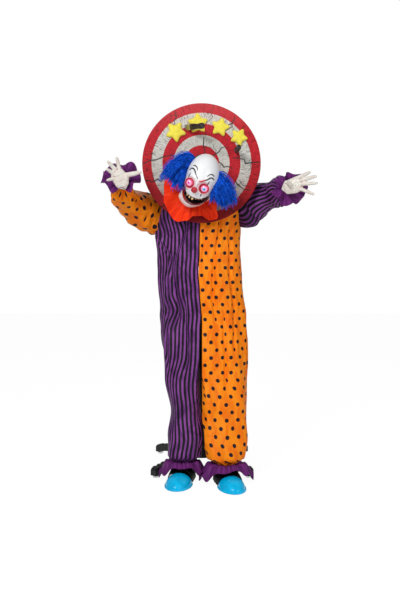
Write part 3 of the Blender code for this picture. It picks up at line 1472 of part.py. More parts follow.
BOX_AT = Vector((0.0, 0.052, 1.020))
BOX_SIZE = Vector((0.092, 0.050, 0.130))
CLIP_HALF = 0.055
BATTERY_BAY = Vector((0.058, 0.018, 0.050))
DOOR_SIZE = Vector((0.070, 0.004, 0.060))
DOOR_TRAVEL = 0.030
SWITCH_SIZE = Vector((0.010, 0.008, 0.0080))


def build_control_box():
    """The case that hangs behind the column, with its clip, its battery bay and the door's runway."""
    case = place(mesh_object("control_box", box_mesh(BOX_SIZE, BOX_AT)), BLACK_PLASTIC, ROOT)
    low = Vector((0.0, 0.0, BOX_AT.z - CLIP_HALF))
    high = Vector((0.0, 0.0, BOX_AT.z + CLIP_HALF))
    join(case, rod_mesh(low, high, MAST_R + 0.005, 20), "box_clip")
    join(case, box_mesh((0.020, 0.020, 2 * CLIP_HALF), (0.0, 0.022, BOX_AT.z)), "box_web")
    below = low - Vector((0.0, 0.0, 0.065))
    above = high + Vector((0.0, 0.0, 0.125))
    cut(case, rod_mesh(below, above, MAST_R + GAP, 20), "box_bore")
    back = BOX_SIZE.y / 2
    door_at = BOX_AT + Vector((0.0, back - DOOR_SIZE.y / 2, -0.024))
    room = DOOR_SIZE + Vector((2 * GAP, 2 * GAP, DOOR_TRAVEL))
    cut(case, box_mesh(room, door_at + Vector((0.0, GAP, GAP - DOOR_TRAVEL / 2))), "door_room")
    bay_at = door_at - Vector((0.0, DOOR_SIZE.y / 2 + GAP + BATTERY_BAY.y / 2 - 0.001, 0.0))
    cut(case, box_mesh(BATTERY_BAY, bay_at), "battery_bay")
    door_body = axis_empty("battery_door_axis", door_at, ROOT)
    place(mesh_object("battery_door", box_mesh(DOOR_SIZE, door_at)), BLACK_PLASTIC, door_body)
    switch_at = BOX_AT + Vector((0.0, back, 0.045))
    switch_body = axis_empty("switch_axis", switch_at, ROOT)
    slot = SWITCH_SIZE + Vector((0.0126, 0.0, 2 * GAP))
    cut(case, box_mesh(slot, switch_at), "switch_slot")
    switch = box_mesh(SWITCH_SIZE, switch_at + Vector((-0.006, 0.0005, 0.0)))
    place(mesh_object("slide_switch", switch), BLACK_PLASTIC, switch_body)


def build_all():
    build_base()
    build_column()
    build_hips()
    build_shoe("right", ANKLE_RIGHT, TOE_TURN_RIGHT)
    build_shoe("left", ANKLE_LEFT, -TOE_TURN_LEFT)
    ankle_ruffle("ankle_ruffle_right", ANKLE_RIGHT, 0.082, TOE_TURN_RIGHT)
    ankle_ruffle("ankle_ruffle_left", ANKLE_LEFT, 0.088, -TOE_TURN_LEFT)
    build_suit("right", STRIPED_CLOTH)
    build_suit("left", DOTTED_CLOTH)
    build_shoulders()
    build_control_box()
    build_drive()
    axis = Vector((TARGET_X, TARGET_FRONT, TARGET_Z))
    target_body = axis_empty("target_axis", axis, ROOT)
    head_body = axis_empty("head_axis", axis, ROOT)
    jaw_body = axis_empty("jaw_axis", HEAD_FRAME @ JAW_PIVOT, head_body)
    disc = build_target(target_body)
    high = on_target(-0.075, 0.109, TARGET_FRONT)
    build_knife("a", high, (0.55, -0.83, -0.075), 0.052, disc, target_body)
    low = on_target(0.155, 0.2155, TARGET_FRONT)
    build_knife("b", low, (0.05, -1.0, 0.004), 0.038, disc, target_body)
    build_head(head_body)
    build_face_parts(head_body)
    build_jaw(jaw_body)
    build_collar(head_body)

    upper_right = axis_empty("shoulder_axis_right", SHOULDER_RIGHT, ROOT)
    upper_left = axis_empty("shoulder_axis_left", SHOULDER_LEFT, ROOT)
    fore_right = axis_empty("elbow_axis_right", ELBOW_RIGHT, upper_right)
    fore_left = axis_empty("elbow_axis_left", ELBOW_LEFT, upper_left)
    build_arm("right", SHOULDER_RIGHT, ELBOW_RIGHT, WRIST_RIGHT, upper_right, fore_right)
    build_arm("left", SHOULDER_LEFT, ELBOW_LEFT, WRIST_LEFT, upper_left, fore_left)

    build_sleeve("sleeve_right", right_sleeve_keys(), DOTTED_CLOTH, upper_right, 0.4)
    build_sleeve("sleeve_left", left_sleeve_keys(), STRIPED_CLOTH, upper_left, 1.9)
    right_way = (WRIST_RIGHT - ELBOW_RIGHT).normalized()
    left_way = (WRIST_LEFT - ELBOW_LEFT).normalized()
    up = Vector((0.0, 0.0, 0.020))
    out = Vector((0.030, 0.012, 0.0))
    wrist_ruffle("wrist_ruffle_right", WRIST_RIGHT, right_way, 0.074, up, 6, fore_right)
    wrist_ruffle("wrist_ruffle_left", WRIST_LEFT, left_way, 0.074, out, 6, fore_left)
    build_hand("right", HAND_RIGHT, WRIST_RIGHT, right_way, fore_right)
    build_hand("left", HAND_LEFT, WRIST_LEFT, left_way, fore_left)


build_all()
bpy.context.view_layer.update()
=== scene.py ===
# %% [markdown]
# # A life-size clown that stands in the porch
# The prop is a pole figure: a star base, a steel column, a costume of two
# cloths, a round target behind the head and a mask with a jaw that snaps.
# The imported CAD model is loaded first. It fixes every size and every joint,
# so the pieces made here are dressed over it, and most ride on one of its bodies.

# %% Load the frame
import math
import bmesh
import bpy
import numpy as np
from mathutils import Matrix, Vector, noise


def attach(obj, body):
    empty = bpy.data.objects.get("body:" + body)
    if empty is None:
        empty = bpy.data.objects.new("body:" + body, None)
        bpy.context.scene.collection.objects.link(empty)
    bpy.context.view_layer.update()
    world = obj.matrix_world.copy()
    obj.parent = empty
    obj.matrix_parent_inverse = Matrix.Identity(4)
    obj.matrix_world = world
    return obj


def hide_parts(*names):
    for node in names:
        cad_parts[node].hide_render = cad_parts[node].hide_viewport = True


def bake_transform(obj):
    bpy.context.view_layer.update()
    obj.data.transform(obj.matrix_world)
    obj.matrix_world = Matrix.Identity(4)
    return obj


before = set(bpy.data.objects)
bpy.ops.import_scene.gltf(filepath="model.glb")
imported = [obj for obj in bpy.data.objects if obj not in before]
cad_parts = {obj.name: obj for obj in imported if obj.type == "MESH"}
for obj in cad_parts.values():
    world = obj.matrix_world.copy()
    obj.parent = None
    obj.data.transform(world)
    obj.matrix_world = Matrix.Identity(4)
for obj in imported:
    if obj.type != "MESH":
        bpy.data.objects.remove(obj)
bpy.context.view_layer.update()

# %% [markdown]
# ## Where things are
# The CAD model was drawn round the middle of the figure and then set on the
# shelf's own zero. Adding one fixed step takes a point of the figure to the
# world, so the measured places can be written as they were measured.

# %% The figure's own middle
FIGURE = Vector((-0.035, 0.1235, 0.0))


def at(x, y, z):
    return FIGURE + Vector((x, y, z))


def lerp(a, b, t):
    return a + (b - a) * t


def ease(t):
    t = min(max(t, 0.0), 1.0)
    return t * t * (3.0 - 2.0 * t)


def along(keys, z):
    """A value between the keys (place, value), eased from one to the next."""
    for (low, a), (high, b) in zip(keys, keys[1:]):
        if z <= high:
            return lerp(a, b, ease((z - low) / (high - low)))
    return keys[-1][1]


# %% [markdown]
# ## Pieces
# A finished piece is a mesh whose object stays at the origin. This helper
# turns a bmesh into such an object, shades it smooth, hides the CAD solid
# that it stands for, and hangs it on the body that carries it.

# %% From a bmesh to a piece
def hang(name, mesh, finish, body, nodes=()):
    mesh.materials.append(finish)
    mesh.shade_smooth()
    obj = bpy.data.objects.new(name, mesh)
    bpy.context.scene.collection.objects.link(obj)
    if nodes:
        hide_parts(*nodes)
    if body:
        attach(obj, body)
    return obj


def piece(name, bm, finish, body, nodes=()):
    mesh = bpy.data.meshes.new(name)
    bm.to_mesh(mesh)
    bm.free()
    return hang(name, mesh, finish, body, nodes)


def wall(obj, thickness, offset=-1.0):
    solid = obj.modifiers.new("wall", "SOLIDIFY")
    solid.thickness = thickness
    solid.offset = offset
    return obj


def soften(obj, levels=1):
    smooth = obj.modifiers.new("smooth", "SUBSURF")
    smooth.levels = levels
    smooth.render_levels = levels
    return obj


def store(obj, name, values):
    """A number for each point of the mesh, for the material to read."""
    attribute = obj.data.attributes.new(name, "FLOAT", "POINT")
    attribute.data.foreach_set("value", np.asarray(values, np.float32))


def points_of(obj):
    flat = np.empty(len(obj.data.vertices) * 3)
    obj.data.vertices.foreach_get("co", flat)
    return flat.reshape(-1, 3)


WELD = 0.00005


def sewn(bm, reach=WELD):
    """Weld points that lie on each other and turn the faces outward."""
    bmesh.ops.remove_doubles(bm, verts=bm.verts, dist=reach)
    bmesh.ops.recalc_face_normals(bm, faces=bm.faces)
    return bm


def cut_away(bm, place, way):
    """Take away all that lies past a plane."""
    everything = list(bm.verts) + list(bm.edges) + list(bm.faces)
    bmesh.ops.bisect_plane(bm, geom=everything, plane_co=place, plane_no=way, clear_outer=True)


def extruded(bm, edges):
    """Grow a rim: its new points, and the new edges to grow from next."""
    grown = bmesh.ops.extrude_edge_only(bm, edges=edges)["geom"]
    verts = [g for g in grown if isinstance(g, bmesh.types.BMVert)]
    return verts, [g for g in grown if isinstance(g, bmesh.types.BMEdge)]


# %% [markdown]
# ## Writing materials
# A node tree is a list of small steps. These helpers add a node, set or link
# each of its inputs, and give back the socket to use next, so a finish can be
# read from top to bottom.

# %% Node helpers
def fill(tree, node, inputs):
    """Link or set a node's inputs, by name or number."""
    for key, value in inputs.items():
        if isinstance(value, bpy.types.NodeSocket):
            tree.links.new(value, node.inputs[key])
        else:
            node.inputs[key].default_value = value


def step(tree, kind, out=0, inputs=None, **settings):
    node = tree.nodes.new(kind)
    for key, value in settings.items():
        setattr(node, key, value)
    fill(tree, node, inputs or {})
    return node.outputs[out]


def maths(tree, operation, a, b=0.0, c=0.0, clamp=False):
    return step(tree, "ShaderNodeMath", inputs={0: a, 1: b, 2: c}, operation=operation, use_clamp=clamp)


def ramp(tree, value, low, high, to_low=0.0, to_high=1.0, smooth=True):
    kind = "SMOOTHSTEP" if smooth else "LINEAR"
    named = {"Value": value, "From Min": low, "From Max": high, "To Min": to_low, "To Max": to_high}
    return step(tree, "ShaderNodeMapRange", inputs=named, interpolation_type=kind)


def mix(tree, amount, a, b, blend="MIX"):
    node = tree.nodes.new("ShaderNodeMix")
    node.data_type = "RGBA"
    node.blend_type = blend
    a, b = [(*color, 1.0) if isinstance(color, tuple) else color for color in (a, b)]
    fill(tree, node, {0: amount, 6: a, 7: b})
    return node.outputs[2]


def tinted(tree, tone, amount, share, color, blend="MIX"):
    """The tone with a share of another colour where the amount is high."""
    return mix(tree, maths(tree, "MULTIPLY", amount, share), tone, color, blend)


def centred(tree, value, width):
    """A value from 0 to 1, spread evenly about zero."""
    return maths(tree, "MULTIPLY", maths(tree, "SUBTRACT", value, 0.5), width)


def noisy(tree, place, scale, detail, **more):
    inputs = {"Vector": place, "Scale": scale, "Detail": detail, **more}
    return step(tree, "ShaderNodeTexNoise", inputs=inputs)


def bumped(tree, height, strength, distance, **more):
    inputs = {"Strength": strength, "Distance": distance, "Height": height, **more}
    return step(tree, "ShaderNodeBump", inputs=inputs)


def spaced(settings):
    """Keyword names as socket names."""
    return {key.replace("_", " "): value for key, value in settings.items()}


def finish(name, color, roughness, **fixed):
    """A material with its Principled shader, and constants on the shader's own sockets."""
    made = bpy.data.materials.new(name)
    made.use_nodes = True
    tree = made.node_tree
    shader = tree.nodes["Principled BSDF"]
    fill(tree, shader, {"Base Color": (*color, 1.0), "Roughness": roughness, **spaced(fixed)})
    return made, tree, shader


def paler(color, gain, lift):
    return tuple(min(1.0, c * gain + lift) for c in color)


def object_space(tree):
    return step(tree, "ShaderNodeTexCoord", out=3)


def uv_space(tree):
    return step(tree, "ShaderNodeTexCoord", out=2)


def reading(tree, name):
    return step(tree, "ShaderNodeAttribute", out=2, attribute_name=name)


# %% [markdown]
# ## Grain, weave and dirt, built once
# Three effects come back in many finishes: a fine moulding grain, the thread
# of satin, and blotches of dust and handling. Each is a node group with named
# inputs, so a material only says how large and how strong it wants it.

# %% Group: surface grain
def new_group(name, ins, outs):
    group = bpy.data.node_groups.new(name, "ShaderNodeTree")
    for label, kind, value in ins:
        socket = group.interface.new_socket(label, in_out="INPUT", socket_type=kind)
        if value is not None:
            socket.default_value = value
    for label, kind in outs:
        group.interface.new_socket(label, in_out="OUTPUT", socket_type=kind)
    entry = group.nodes.new("NodeGroupInput")
    leave = group.nodes.new("NodeGroupOutput")
    return group, entry, leave


def grain_group():
    group, entry, leave = new_group(
        "surface grain",
        (("Vector", "NodeSocketVector", None), ("Scale", "NodeSocketFloat", 900.0),
         ("Depth", "NodeSocketFloat", 0.15), ("Blotch Scale", "NodeSocketFloat", 14.0)),
        (("Normal", "NodeSocketVector"), ("Blotch", "NodeSocketFloat"), ("Fine", "NodeSocketFloat")),
    )
    place = entry.outputs["Vector"]
    fine = noisy(group, place, entry.outputs["Scale"], 3.0)
    wide = noisy(group, place, entry.outputs["Blotch Scale"], 5.0, Roughness=0.62)
    bump = bumped(group, fine, entry.outputs["Depth"], 0.0006)
    fill(group, leave, {"Normal": bump, "Blotch": wide, "Fine": fine})
    return group


GRAIN = grain_group()


def grouped(tree, group, **inputs):
    """Use a node group; its outputs are read by name."""
    node = tree.nodes.new("ShaderNodeGroup")
    node.node_tree = group
    fill(tree, node, spaced(inputs))
    return node.outputs


def grain(tree, scale, depth, blotch):
    return grouped(tree, GRAIN, Vector=object_space(tree), Scale=scale, Depth=depth, Blotch_Scale=blotch)


def blotched(name, color, roughness, grains, band, tones, **fixed):
    """A finish whose colour wanders between two tones with the blotches of its grain."""
    made, tree, shader = finish(name, color, roughness, **fixed)
    grained = grain(tree, *grains)
    tone = mix(tree, ramp(tree, grained["Blotch"], *band), *tones)
    fill(tree, shader, {"Base Color": tone, "Normal": grained["Normal"]})
    return made


# %% Group: satin thread
def thread_group():
    group, entry, leave = new_group(
        "satin thread",
        (("UV", "NodeSocketVector", None), ("Threads", "NodeSocketFloat", 2400.0),
         ("Depth", "NodeSocketFloat", 0.25)),
        (("Normal", "NodeSocketVector"), ("Thread", "NodeSocketFloat"), ("Crease", "NodeSocketFloat")),
    )
    uv = entry.outputs["UV"]
    slanted = step(group, "ShaderNodeMapping", inputs={"Vector": uv, "Rotation": (0, 0, 0.62)})
    wave = {"Vector": slanted, "Scale": entry.outputs["Threads"], "Distortion": 0.6, "Detail": 1.0}
    twill = step(group, "ShaderNodeTexWave", out=1, inputs=wave)
    crushed = step(group, "ShaderNodeMapping", inputs={"Vector": uv, "Scale": (1.0, 0.45, 1.0)})
    crease = noisy(group, crushed, 26.0, 6.0, Roughness=0.55, Distortion=0.8)
    creased = bumped(group, crease, 0.35, 0.010)
    bump = bumped(group, twill, entry.outputs["Depth"], 0.0002, Normal=creased)
    fill(group, leave, {"Normal": bump, "Thread": twill, "Crease": crease})
    return group


THREAD = thread_group()


# %% [markdown]
# ## The hard finishes
# The stand is powder-coated steel and moulded plastic, almost black with a
# dull, slightly dusty bloom. The feet, the motor's can and the head's shaft
# are zinc plated. Roughness varies with the blotches, because an even gloss
# is what makes metal look fake.

# %% Plastic, powder coat and zinc
def hard_finish(name, color, roughness, fine, depth, **fixed):
    made, tree, shader = finish(name, color, roughness, Specular_IOR_Level=0.25, **fixed)
    grained = grain(tree, fine, depth, 18.0)
    tone = mix(tree, ramp(tree, grained["Blotch"], 0.42, 0.68), color, paler(color, 1.5, 0.003))
    rough = ramp(tree, grained["Blotch"], 0.3, 0.7, roughness * 0.82, min(1.0, roughness * 1.25))
    fill(tree, shader, {"Base Color": tone, "Roughness": rough, "Normal": grained["Normal"]})
    return made


MOULDED = hard_finish("moulded black plastic", (0.006, 0.006, 0.007), 0.42, 1400.0, 0.30)
POWDER = hard_finish("black powder coat", (0.008, 0.008, 0.009), 0.38, 2200.0, 0.45)
ZINC = hard_finish("zinc plate", (0.56, 0.57, 0.58), 0.34, 700.0, 0.12, Metallic=1.0)
CORNERS = ("_fr", "_fl", "_rr", "_rl")
SIDES = ("_right", "_left")
COATED = (
    (MOULDED, ("base_hub", *["base_leg" + c for c in CORNERS], "column_collar", "hip_bar", "shoulder_bar",
               "drive_case", "control_box", "battery_door", "slide_switch", "target_washer")),
    (POWDER, ("column_lower", "column_upper",
              *[n + s for n in ("leg_tube", "upper_arm", "forearm") for s in SIDES])),
    (ZINC, (*["glide" + c for c in CORNERS], "drive_motor", "head_shaft")),
)
for coat, names in COATED:
    for name in names:
        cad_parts[name].data.materials[0] = coat

# %% [markdown]
# ## The costume's cloths
# Both cloths are thin printed satin. The print follows the thread, so it is
# drawn on the cloth's own UV map in metres: stripes 19.5 mm from one to the
# next, and dots 18 mm across in staggered columns. When the cloth bends into
# a fold, the print goes in with it.

# %% Striped satin and dotted satin
STRIPE_PITCH = 0.0195
DOT_R = 0.0088
DOT_EDGE = 0.0004
DOT_ACROSS = 0.0270
DOT_ALONG = 0.0680


def satin(name, color, roughness=0.50):
    sheen = (*paler(color, 0.6, 0.35), 1.0)
    made, tree, shader = finish(name, color, roughness, Sheen_Weight=0.03, Sheen_Roughness=0.35,
                                Sheen_Tint=sheen, Specular_IOR_Level=0.09)
    woven = grouped(tree, THREAD, UV=uv_space(tree))
    fill(tree, shader, {"Normal": woven["Normal"]})
    return made, tree, shader, woven


def cloth_tone(tree, woven, color, dark):
    """Painted shade and painted sheen in the colour: darker where the cloth is creased, a little paler along
    the thread.
    """
    shade = ramp(tree, woven["Crease"], 0.36, 0.60)
    thread_sheen = ramp(tree, woven["Thread"], 0.0, 1.0, 0.0, 0.18)
    base = mix(tree, shade, dark, color)
    return mix(tree, thread_sheen, base, paler(color, 1.5, 0.02))


def striped_satin():
    made, tree, shader, woven = satin("striped satin", (0.22, 0.055, 0.31))
    across = step(tree, "ShaderNodeSeparateXYZ", inputs={0: uv_space(tree)})
    turns = maths(tree, "FRACT", maths(tree, "DIVIDE", across, STRIPE_PITCH))
    from_middle = maths(tree, "ABSOLUTE", maths(tree, "SUBTRACT", turns, 0.5))
    # The second colour of each tone is the painted shade in its creases.
    purple = cloth_tone(tree, woven, (0.245, 0.064, 0.305), (0.100, 0.020, 0.140))
    black = cloth_tone(tree, woven, (0.012, 0.010, 0.014), (0.005, 0.004, 0.006))
    fill(tree, shader, {"Base Color": mix(tree, ramp(tree, from_middle, 0.220, 0.248), purple, black)})
    return made


def dotted_satin():
    made, tree, shader, woven = satin("dotted satin", (0.95, 0.23, 0.012))
    uv = step(tree, "ShaderNodeSeparateXYZ", inputs={0: uv_space(tree)}).node.outputs
    column = maths(tree, "DIVIDE", uv[0], DOT_ACROSS)
    odd = maths(tree, "MODULO", maths(tree, "ABSOLUTE", maths(tree, "FLOOR", column)), 2.0)
    row = maths(tree, "MULTIPLY_ADD", odd, 0.5, maths(tree, "DIVIDE", uv[1], DOT_ALONG))
    dx = centred(tree, maths(tree, "FRACT", column), DOT_ACROSS)
    dy = centred(tree, maths(tree, "FRACT", row), DOT_ALONG)
    squares = [maths(tree, "MULTIPLY", d, d) for d in (dx, dy)]
    away = maths(tree, "SQRT", maths(tree, "ADD", *squares))
    # The second colour of each tone is the painted shade in its creases.
    orange = cloth_tone(tree, woven, (1.0, 0.262, 0.006), (0.90, 0.160, 0.003))
    black = cloth_tone(tree, woven, (0.020, 0.014, 0.018), (0.008, 0.006, 0.008))
    inside = ramp(tree, away, DOT_R - DOT_EDGE, DOT_R + DOT_EDGE)
    fill(tree, shader, {"Base Color": mix(tree, inside, black, orange)})
    return made


def plain_satin(name, color, dark, roughness):
    made, tree, shader, woven = satin(name, color, roughness)
    fill(tree, shader, {"Base Color": cloth_tone(tree, woven, color, dark)})
    return made


STRIPED = striped_satin()
DOTTED = dotted_satin()
# The second colour of each satin is the painted shade in its creases.
PURPLE = plain_satin("purple satin", (0.155, 0.022, 0.170), (0.062, 0.008, 0.078), 0.40)
ORANGE_RED = plain_satin("orange-red satin", (1.0, 0.044, 0.004), (0.74, 0.014, 0.003), 0.50)

# %% [markdown]
# ## The suit
# The suit is sewn of two halves, one per cloth, with a seam down the middle,
# and hangs from the shoulder bar. Each half is a body panel that runs into a
# trouser leg. A grid of cloth is laid round each level of the body: first the
# outline of the level is drawn, then the grid's columns are spread evenly
# along it, so that one metre of UV is one metre of cloth.

# %% The suit's outline, level by level
HEM_Z = 0.084
CROTCH_Z = 0.735
NECK_Z = 1.340
ANKLE = {"right": Vector((-0.088, -0.236, 0.052)), "left": Vector((0.108, -0.278, 0.052))}
ANKLE_R = 0.041
SEAM_GAP = 0.0006
SEAM_X = ((0.084, 0.012), (0.19, 0.010), (0.33, -0.010), (0.45, -0.012), (0.66, -0.008), (0.735, -0.003),
          (0.84, -0.011), (0.93, -0.017), (1.02, -0.012), (1.34, -0.006))
LEG_OUTER = {
    "right": ((0.084, 0.041), (0.11, 0.080), (0.185, 0.084), (0.29, 0.070), (0.45, 0.080), (0.66, 0.094),
              (0.735, 0.098)),
    "left": ((0.084, 0.041), (0.11, 0.086), (0.20, 0.104), (0.38, 0.108), (0.58, 0.106), (0.735, 0.103)),
}
LEG_MIDDLE = {
    "right": ((0.084, -0.088), (0.11, -0.079), (0.185, -0.072), (0.29, -0.072), (0.45, -0.090),
              (0.66, -0.100)),
    "left": ((0.084, 0.108), (0.11, 0.104), (0.20, 0.100), (0.38, 0.100), (0.58, 0.103), (0.735, 0.104)),
}
LEG_SHIFT = {
    "right": ((0.084, -0.236), (0.11, -0.226), (0.30, -0.150), (0.50, -0.090), (0.735, -0.006)),
    "left": ((0.084, -0.278), (0.11, -0.268), (0.30, -0.170), (0.50, -0.095), (0.735, -0.006)),
}
LEG_DEPTH = ((0.084, 0.041), (0.11, 0.068), (0.30, 0.082), (0.50, 0.094), (0.735, 0.114))
BODY_EDGE = {
    "right": ((0.735, -0.198), (0.90, -0.208), (1.10, -0.221), (1.215, -0.216), (1.27, -0.205),
              (1.315, -0.160), (1.340, -0.066)),
    "left": ((0.735, 0.206), (0.86, 0.190), (1.02, 0.183), (1.14, 0.184), (1.215, 0.190), (1.27, 0.196),
             (1.315, 0.155), (1.340, 0.054)),
}
BODY_FRONT = ((0.735, -0.120), (0.95, -0.122), (1.10, -0.106), (1.27, -0.100), (1.340, -0.060))
BODY_BACK = ((0.735, 0.108), (0.95, 0.118), (1.15, 0.112), (1.27, 0.098), (1.340, 0.060))
SIGN = {"right": -1.0, "left": 1.0}


def panel_point(side, z, angle, edge, front, back):
    """Round the outside of the body, from the front seam to the back seam."""
    sign = SIGN[side]
    start = along(SEAM_X, z) + sign * SEAM_GAP
    x = start + sign * abs(edge - start) * max(math.cos(angle), 0.0) ** 0.75
    return Vector((x, (back + front) / 2 + (back - front) / 2 * math.sin(angle), z))


def leg_point(side, z, t, outside):
    """Round a trouser leg: it turns from a tube at the ankle to a D below the body."""
    sign = SIGN[side]
    flat = ease((z - 0.33) / 0.22)
    shift, depth = along(LEG_SHIFT[side], z), along(LEG_DEPTH, z)
    outer, middle = along(LEG_OUTER[side], z), along(LEG_MIDDLE[side], z)
    seam = along(SEAM_X, z) + sign * SEAM_GAP
    spread = math.radians(48.0)
    if outside:
        angle = lerp(-math.pi / 2 - spread, math.pi / 2 + spread, t)
        boxy = panel_point(side, z, math.pi * (t - 0.5), middle + sign * outer, shift - depth, shift + depth)
    else:
        angle = lerp(math.pi / 2 + spread, 1.5 * math.pi - spread, t)
        boxy = Vector((seam, shift + depth * lerp(1.0, -1.0, t), z))
    ring = Vector((middle + sign * outer * math.cos(angle), shift + depth * math.sin(angle), z))
    point = ring.lerp(boxy, flat)
    room = 0.0275 * math.exp(-(((point.y - 0.012) / 0.052) ** 4))
    point.x = sign * max(sign * point.x, max(sign * seam, room))
    return point


def body_point(side, z, t):
    edge, front, back = along(BODY_EDGE[side], z), along(BODY_FRONT, z), along(BODY_BACK, z)
    return panel_point(side, z, math.pi * (t - 0.5), edge, front, back)


def spread_evenly(points, count):
    """The same line with its points at equal steps, and its length."""
    steps = [0.0]
    for a, b in zip(points, points[1:]):
        steps.append(steps[-1] + (b - a).length)
    xs = np.array([[*p] for p in points])
    wanted = np.linspace(0.0, steps[-1], count)
    rows = [np.interp(wanted, steps, xs[:, k]) for k in range(3)]
    return [Vector(p) for p in zip(*rows)], steps[-1]


# %% [markdown]
# ### Creases that swallow cloth
# On the real suit the stripes run into each other in long V shapes. That
# happens where a crease hides cloth: the further it sinks, the more stripes
# vanish in it. Each crease is a line down the panel with a depth, and the UV
# jumps by the hidden width as it passes the crease.

# %% Folds
CREASES = {
    "right": (
        (((1.24, 0.250), (1.11, 0.215), (0.98, 0.125), (0.80, 0.100), (0.60, 0.112)), 0.012, 0.030,
         (0.66, 1.22)),
        (((1.24, 0.030), (1.14, 0.060), (0.98, 0.112), (0.86, 0.104)), 0.010, 0.024, (0.88, 1.20)),
        (((1.10, 0.160), (0.90, 0.150), (0.70, 0.165), (0.40, 0.150)), 0.008, 0.016, (0.46, 1.02)),
        (((0.90, 0.050), (0.75, 0.070), (0.55, 0.050), (0.40, 0.055)), 0.008, 0.018, (0.44, 0.84)),
        (((1.20, 0.330), (0.90, 0.300), (0.60, 0.280)), 0.010, 0.020, (0.50, 1.16)),
    ),
    "left": (
        (((1.26, 0.086), (1.12, 0.090), (0.98, 0.072), (0.80, 0.060), (0.60, 0.070)), 0.011, 0.020,
         (0.66, 1.24)),
        (((1.24, 0.150), (1.10, 0.146), (0.95, 0.150), (0.78, 0.160), (0.60, 0.150)), 0.010, 0.018,
         (0.50, 1.20)),
        (((1.20, 0.024), (1.00, 0.018), (0.86, 0.030)), 0.007, 0.012, (0.90, 1.18)),
        (((0.90, 0.120), (0.70, 0.105), (0.50, 0.110), (0.30, 0.090)), 0.009, 0.016, (0.34, 0.80)),
        (((1.18, 0.260), (0.90, 0.270), (0.60, 0.240)), 0.010, 0.018, (0.40, 1.10)),
    ),
}
CREASE_HALF = 0.0085


def fold(side, s, z, total):
    """(how far the cloth stands off its outline, how much cloth is hidden up to here)."""
    lift = 0.0036 * math.sin(s / 0.0165 + 7.0 * z + (0.0 if side == "right" else 1.4))
    lift += 0.0042 * noise.noise(Vector((s * 16.0, z * 5.5, 3.1 if side == "right" else 8.7)))
    lift += 0.0022 * noise.noise(Vector((s * 42.0, z * 17.0, 1.3)))
    lift += 0.0032 * math.exp(-((z - 0.77) / 0.10) ** 2) * math.sin(s / 0.024 + 36.0 * (z - 0.77))
    lift += 0.0030 * math.exp(-((z - 1.09) / 0.09) ** 2) * math.sin(s / 0.028 - 32.0 * (z - 1.09))
    hidden = 0.0
    for keys, depth, width, (low, high) in CREASES[side]:
        fade = ease((z - low) / 0.12) * ease((high - z) / 0.10)
        line = along(tuple(reversed(keys)), z)
        away = (s - line) / CREASE_HALF
        lift += fade * (0.35 * depth * math.exp(-((abs(away) - 1.7) ** 2)) - depth * math.exp(-away * away))
        hidden += fade * width * ease(0.5 + 0.5 * away)
    edge = ease(min(s, total - s) / 0.018)
    gather = math.exp(-((z - HEM_Z) / 0.022) ** 2)
    lift = lift * (1.0 - gather) * edge + gather * 0.0034 * math.cos(s / 0.0046)
    return min(lift, 0.0065), hidden


# %% Lay the cloth of one half
LEG_COLUMNS, INSEAM_COLUMNS = 104, 56
ROW_STEP = 0.0075


def cloth_row(side, z, points, columns):
    """Fold a level of the outline: the folded points and their places on the flat cloth."""
    even, total = spread_evenly(points, columns + 1)
    placed = []
    for i, point in enumerate(even):
        way = (even[min(i + 1, columns)] - even[max(i - 1, 0)]).normalized()
        outward = Vector((way.y, -way.x, 0.0)) * SIGN[side]
        s = total * i / columns
        lift, hidden = fold(side, s, z, total)
        placed.append((at(*(point + outward * lift)), s + hidden))
    return placed


def cloth_grid(bm, rows):
    """A grid of cloth made by the grid operator, then laid on the rows' points, with its UV."""
    high, wide = len(rows), len(rows[0])
    made = bmesh.ops.create_grid(bm, x_segments=wide - 1, y_segments=high - 1, size=0.5)["verts"]
    order = sorted(made, key=lambda v: (round(v.co.y, 5), round(v.co.x, 5)))
    flat = bm.loops.layers.uv.verify()
    place = {}
    for k, vert in enumerate(order):
        vert.co, place[vert] = rows[k // wide][k % wide][:2]
    for vert in made:
        for loop in vert.link_loops:
            loop[flat].uv = place[vert]
    return made


CLOTH_THICK = 0.0010
ARMHOLE = {"right": (-0.212, 0.0, 1.222), "left": (0.188, 0.0, 1.240)}
ARMHOLE_R, ARMHOLE_DEEP = 0.060, 0.055
PANEL_STEPS, INSEAM_STEPS = 160, 60


def in_armhole(away, side):
    return math.hypot(away.y, away.z) < ARMHOLE_R and away.x * SIGN[side] > -ARMHOLE_DEEP


def flat_row(side, z, outline):
    """One level of a panel as cloth: places in the world with their UV."""
    points = [outline(i / PANEL_STEPS) for i in range(PANEL_STEPS + 1)]
    return [(p, (u, z)) for p, u in cloth_row(side, z, points, LEG_COLUMNS)]


def inseam_row(side, z, out):
    """The leg's inner side, which starts and ends on the panel's two edges."""
    inner = [leg_point(side, z, i / INSEAM_STEPS, False) for i in range(INSEAM_STEPS + 1)]
    inner = [leg_point(side, z, 1.0, True)] + inner + [leg_point(side, z, 0.0, True)]
    even, total = spread_evenly(inner, INSEAM_COLUMNS + 1)
    wide = out[-1][1][0]
    row = [(at(*p), (wide + total * i / INSEAM_COLUMNS, z)) for i, p in enumerate(even)]
    row[0] = (out[-1][0], row[0][1])
    row[-1] = (out[0][0], row[-1][1])
    return row


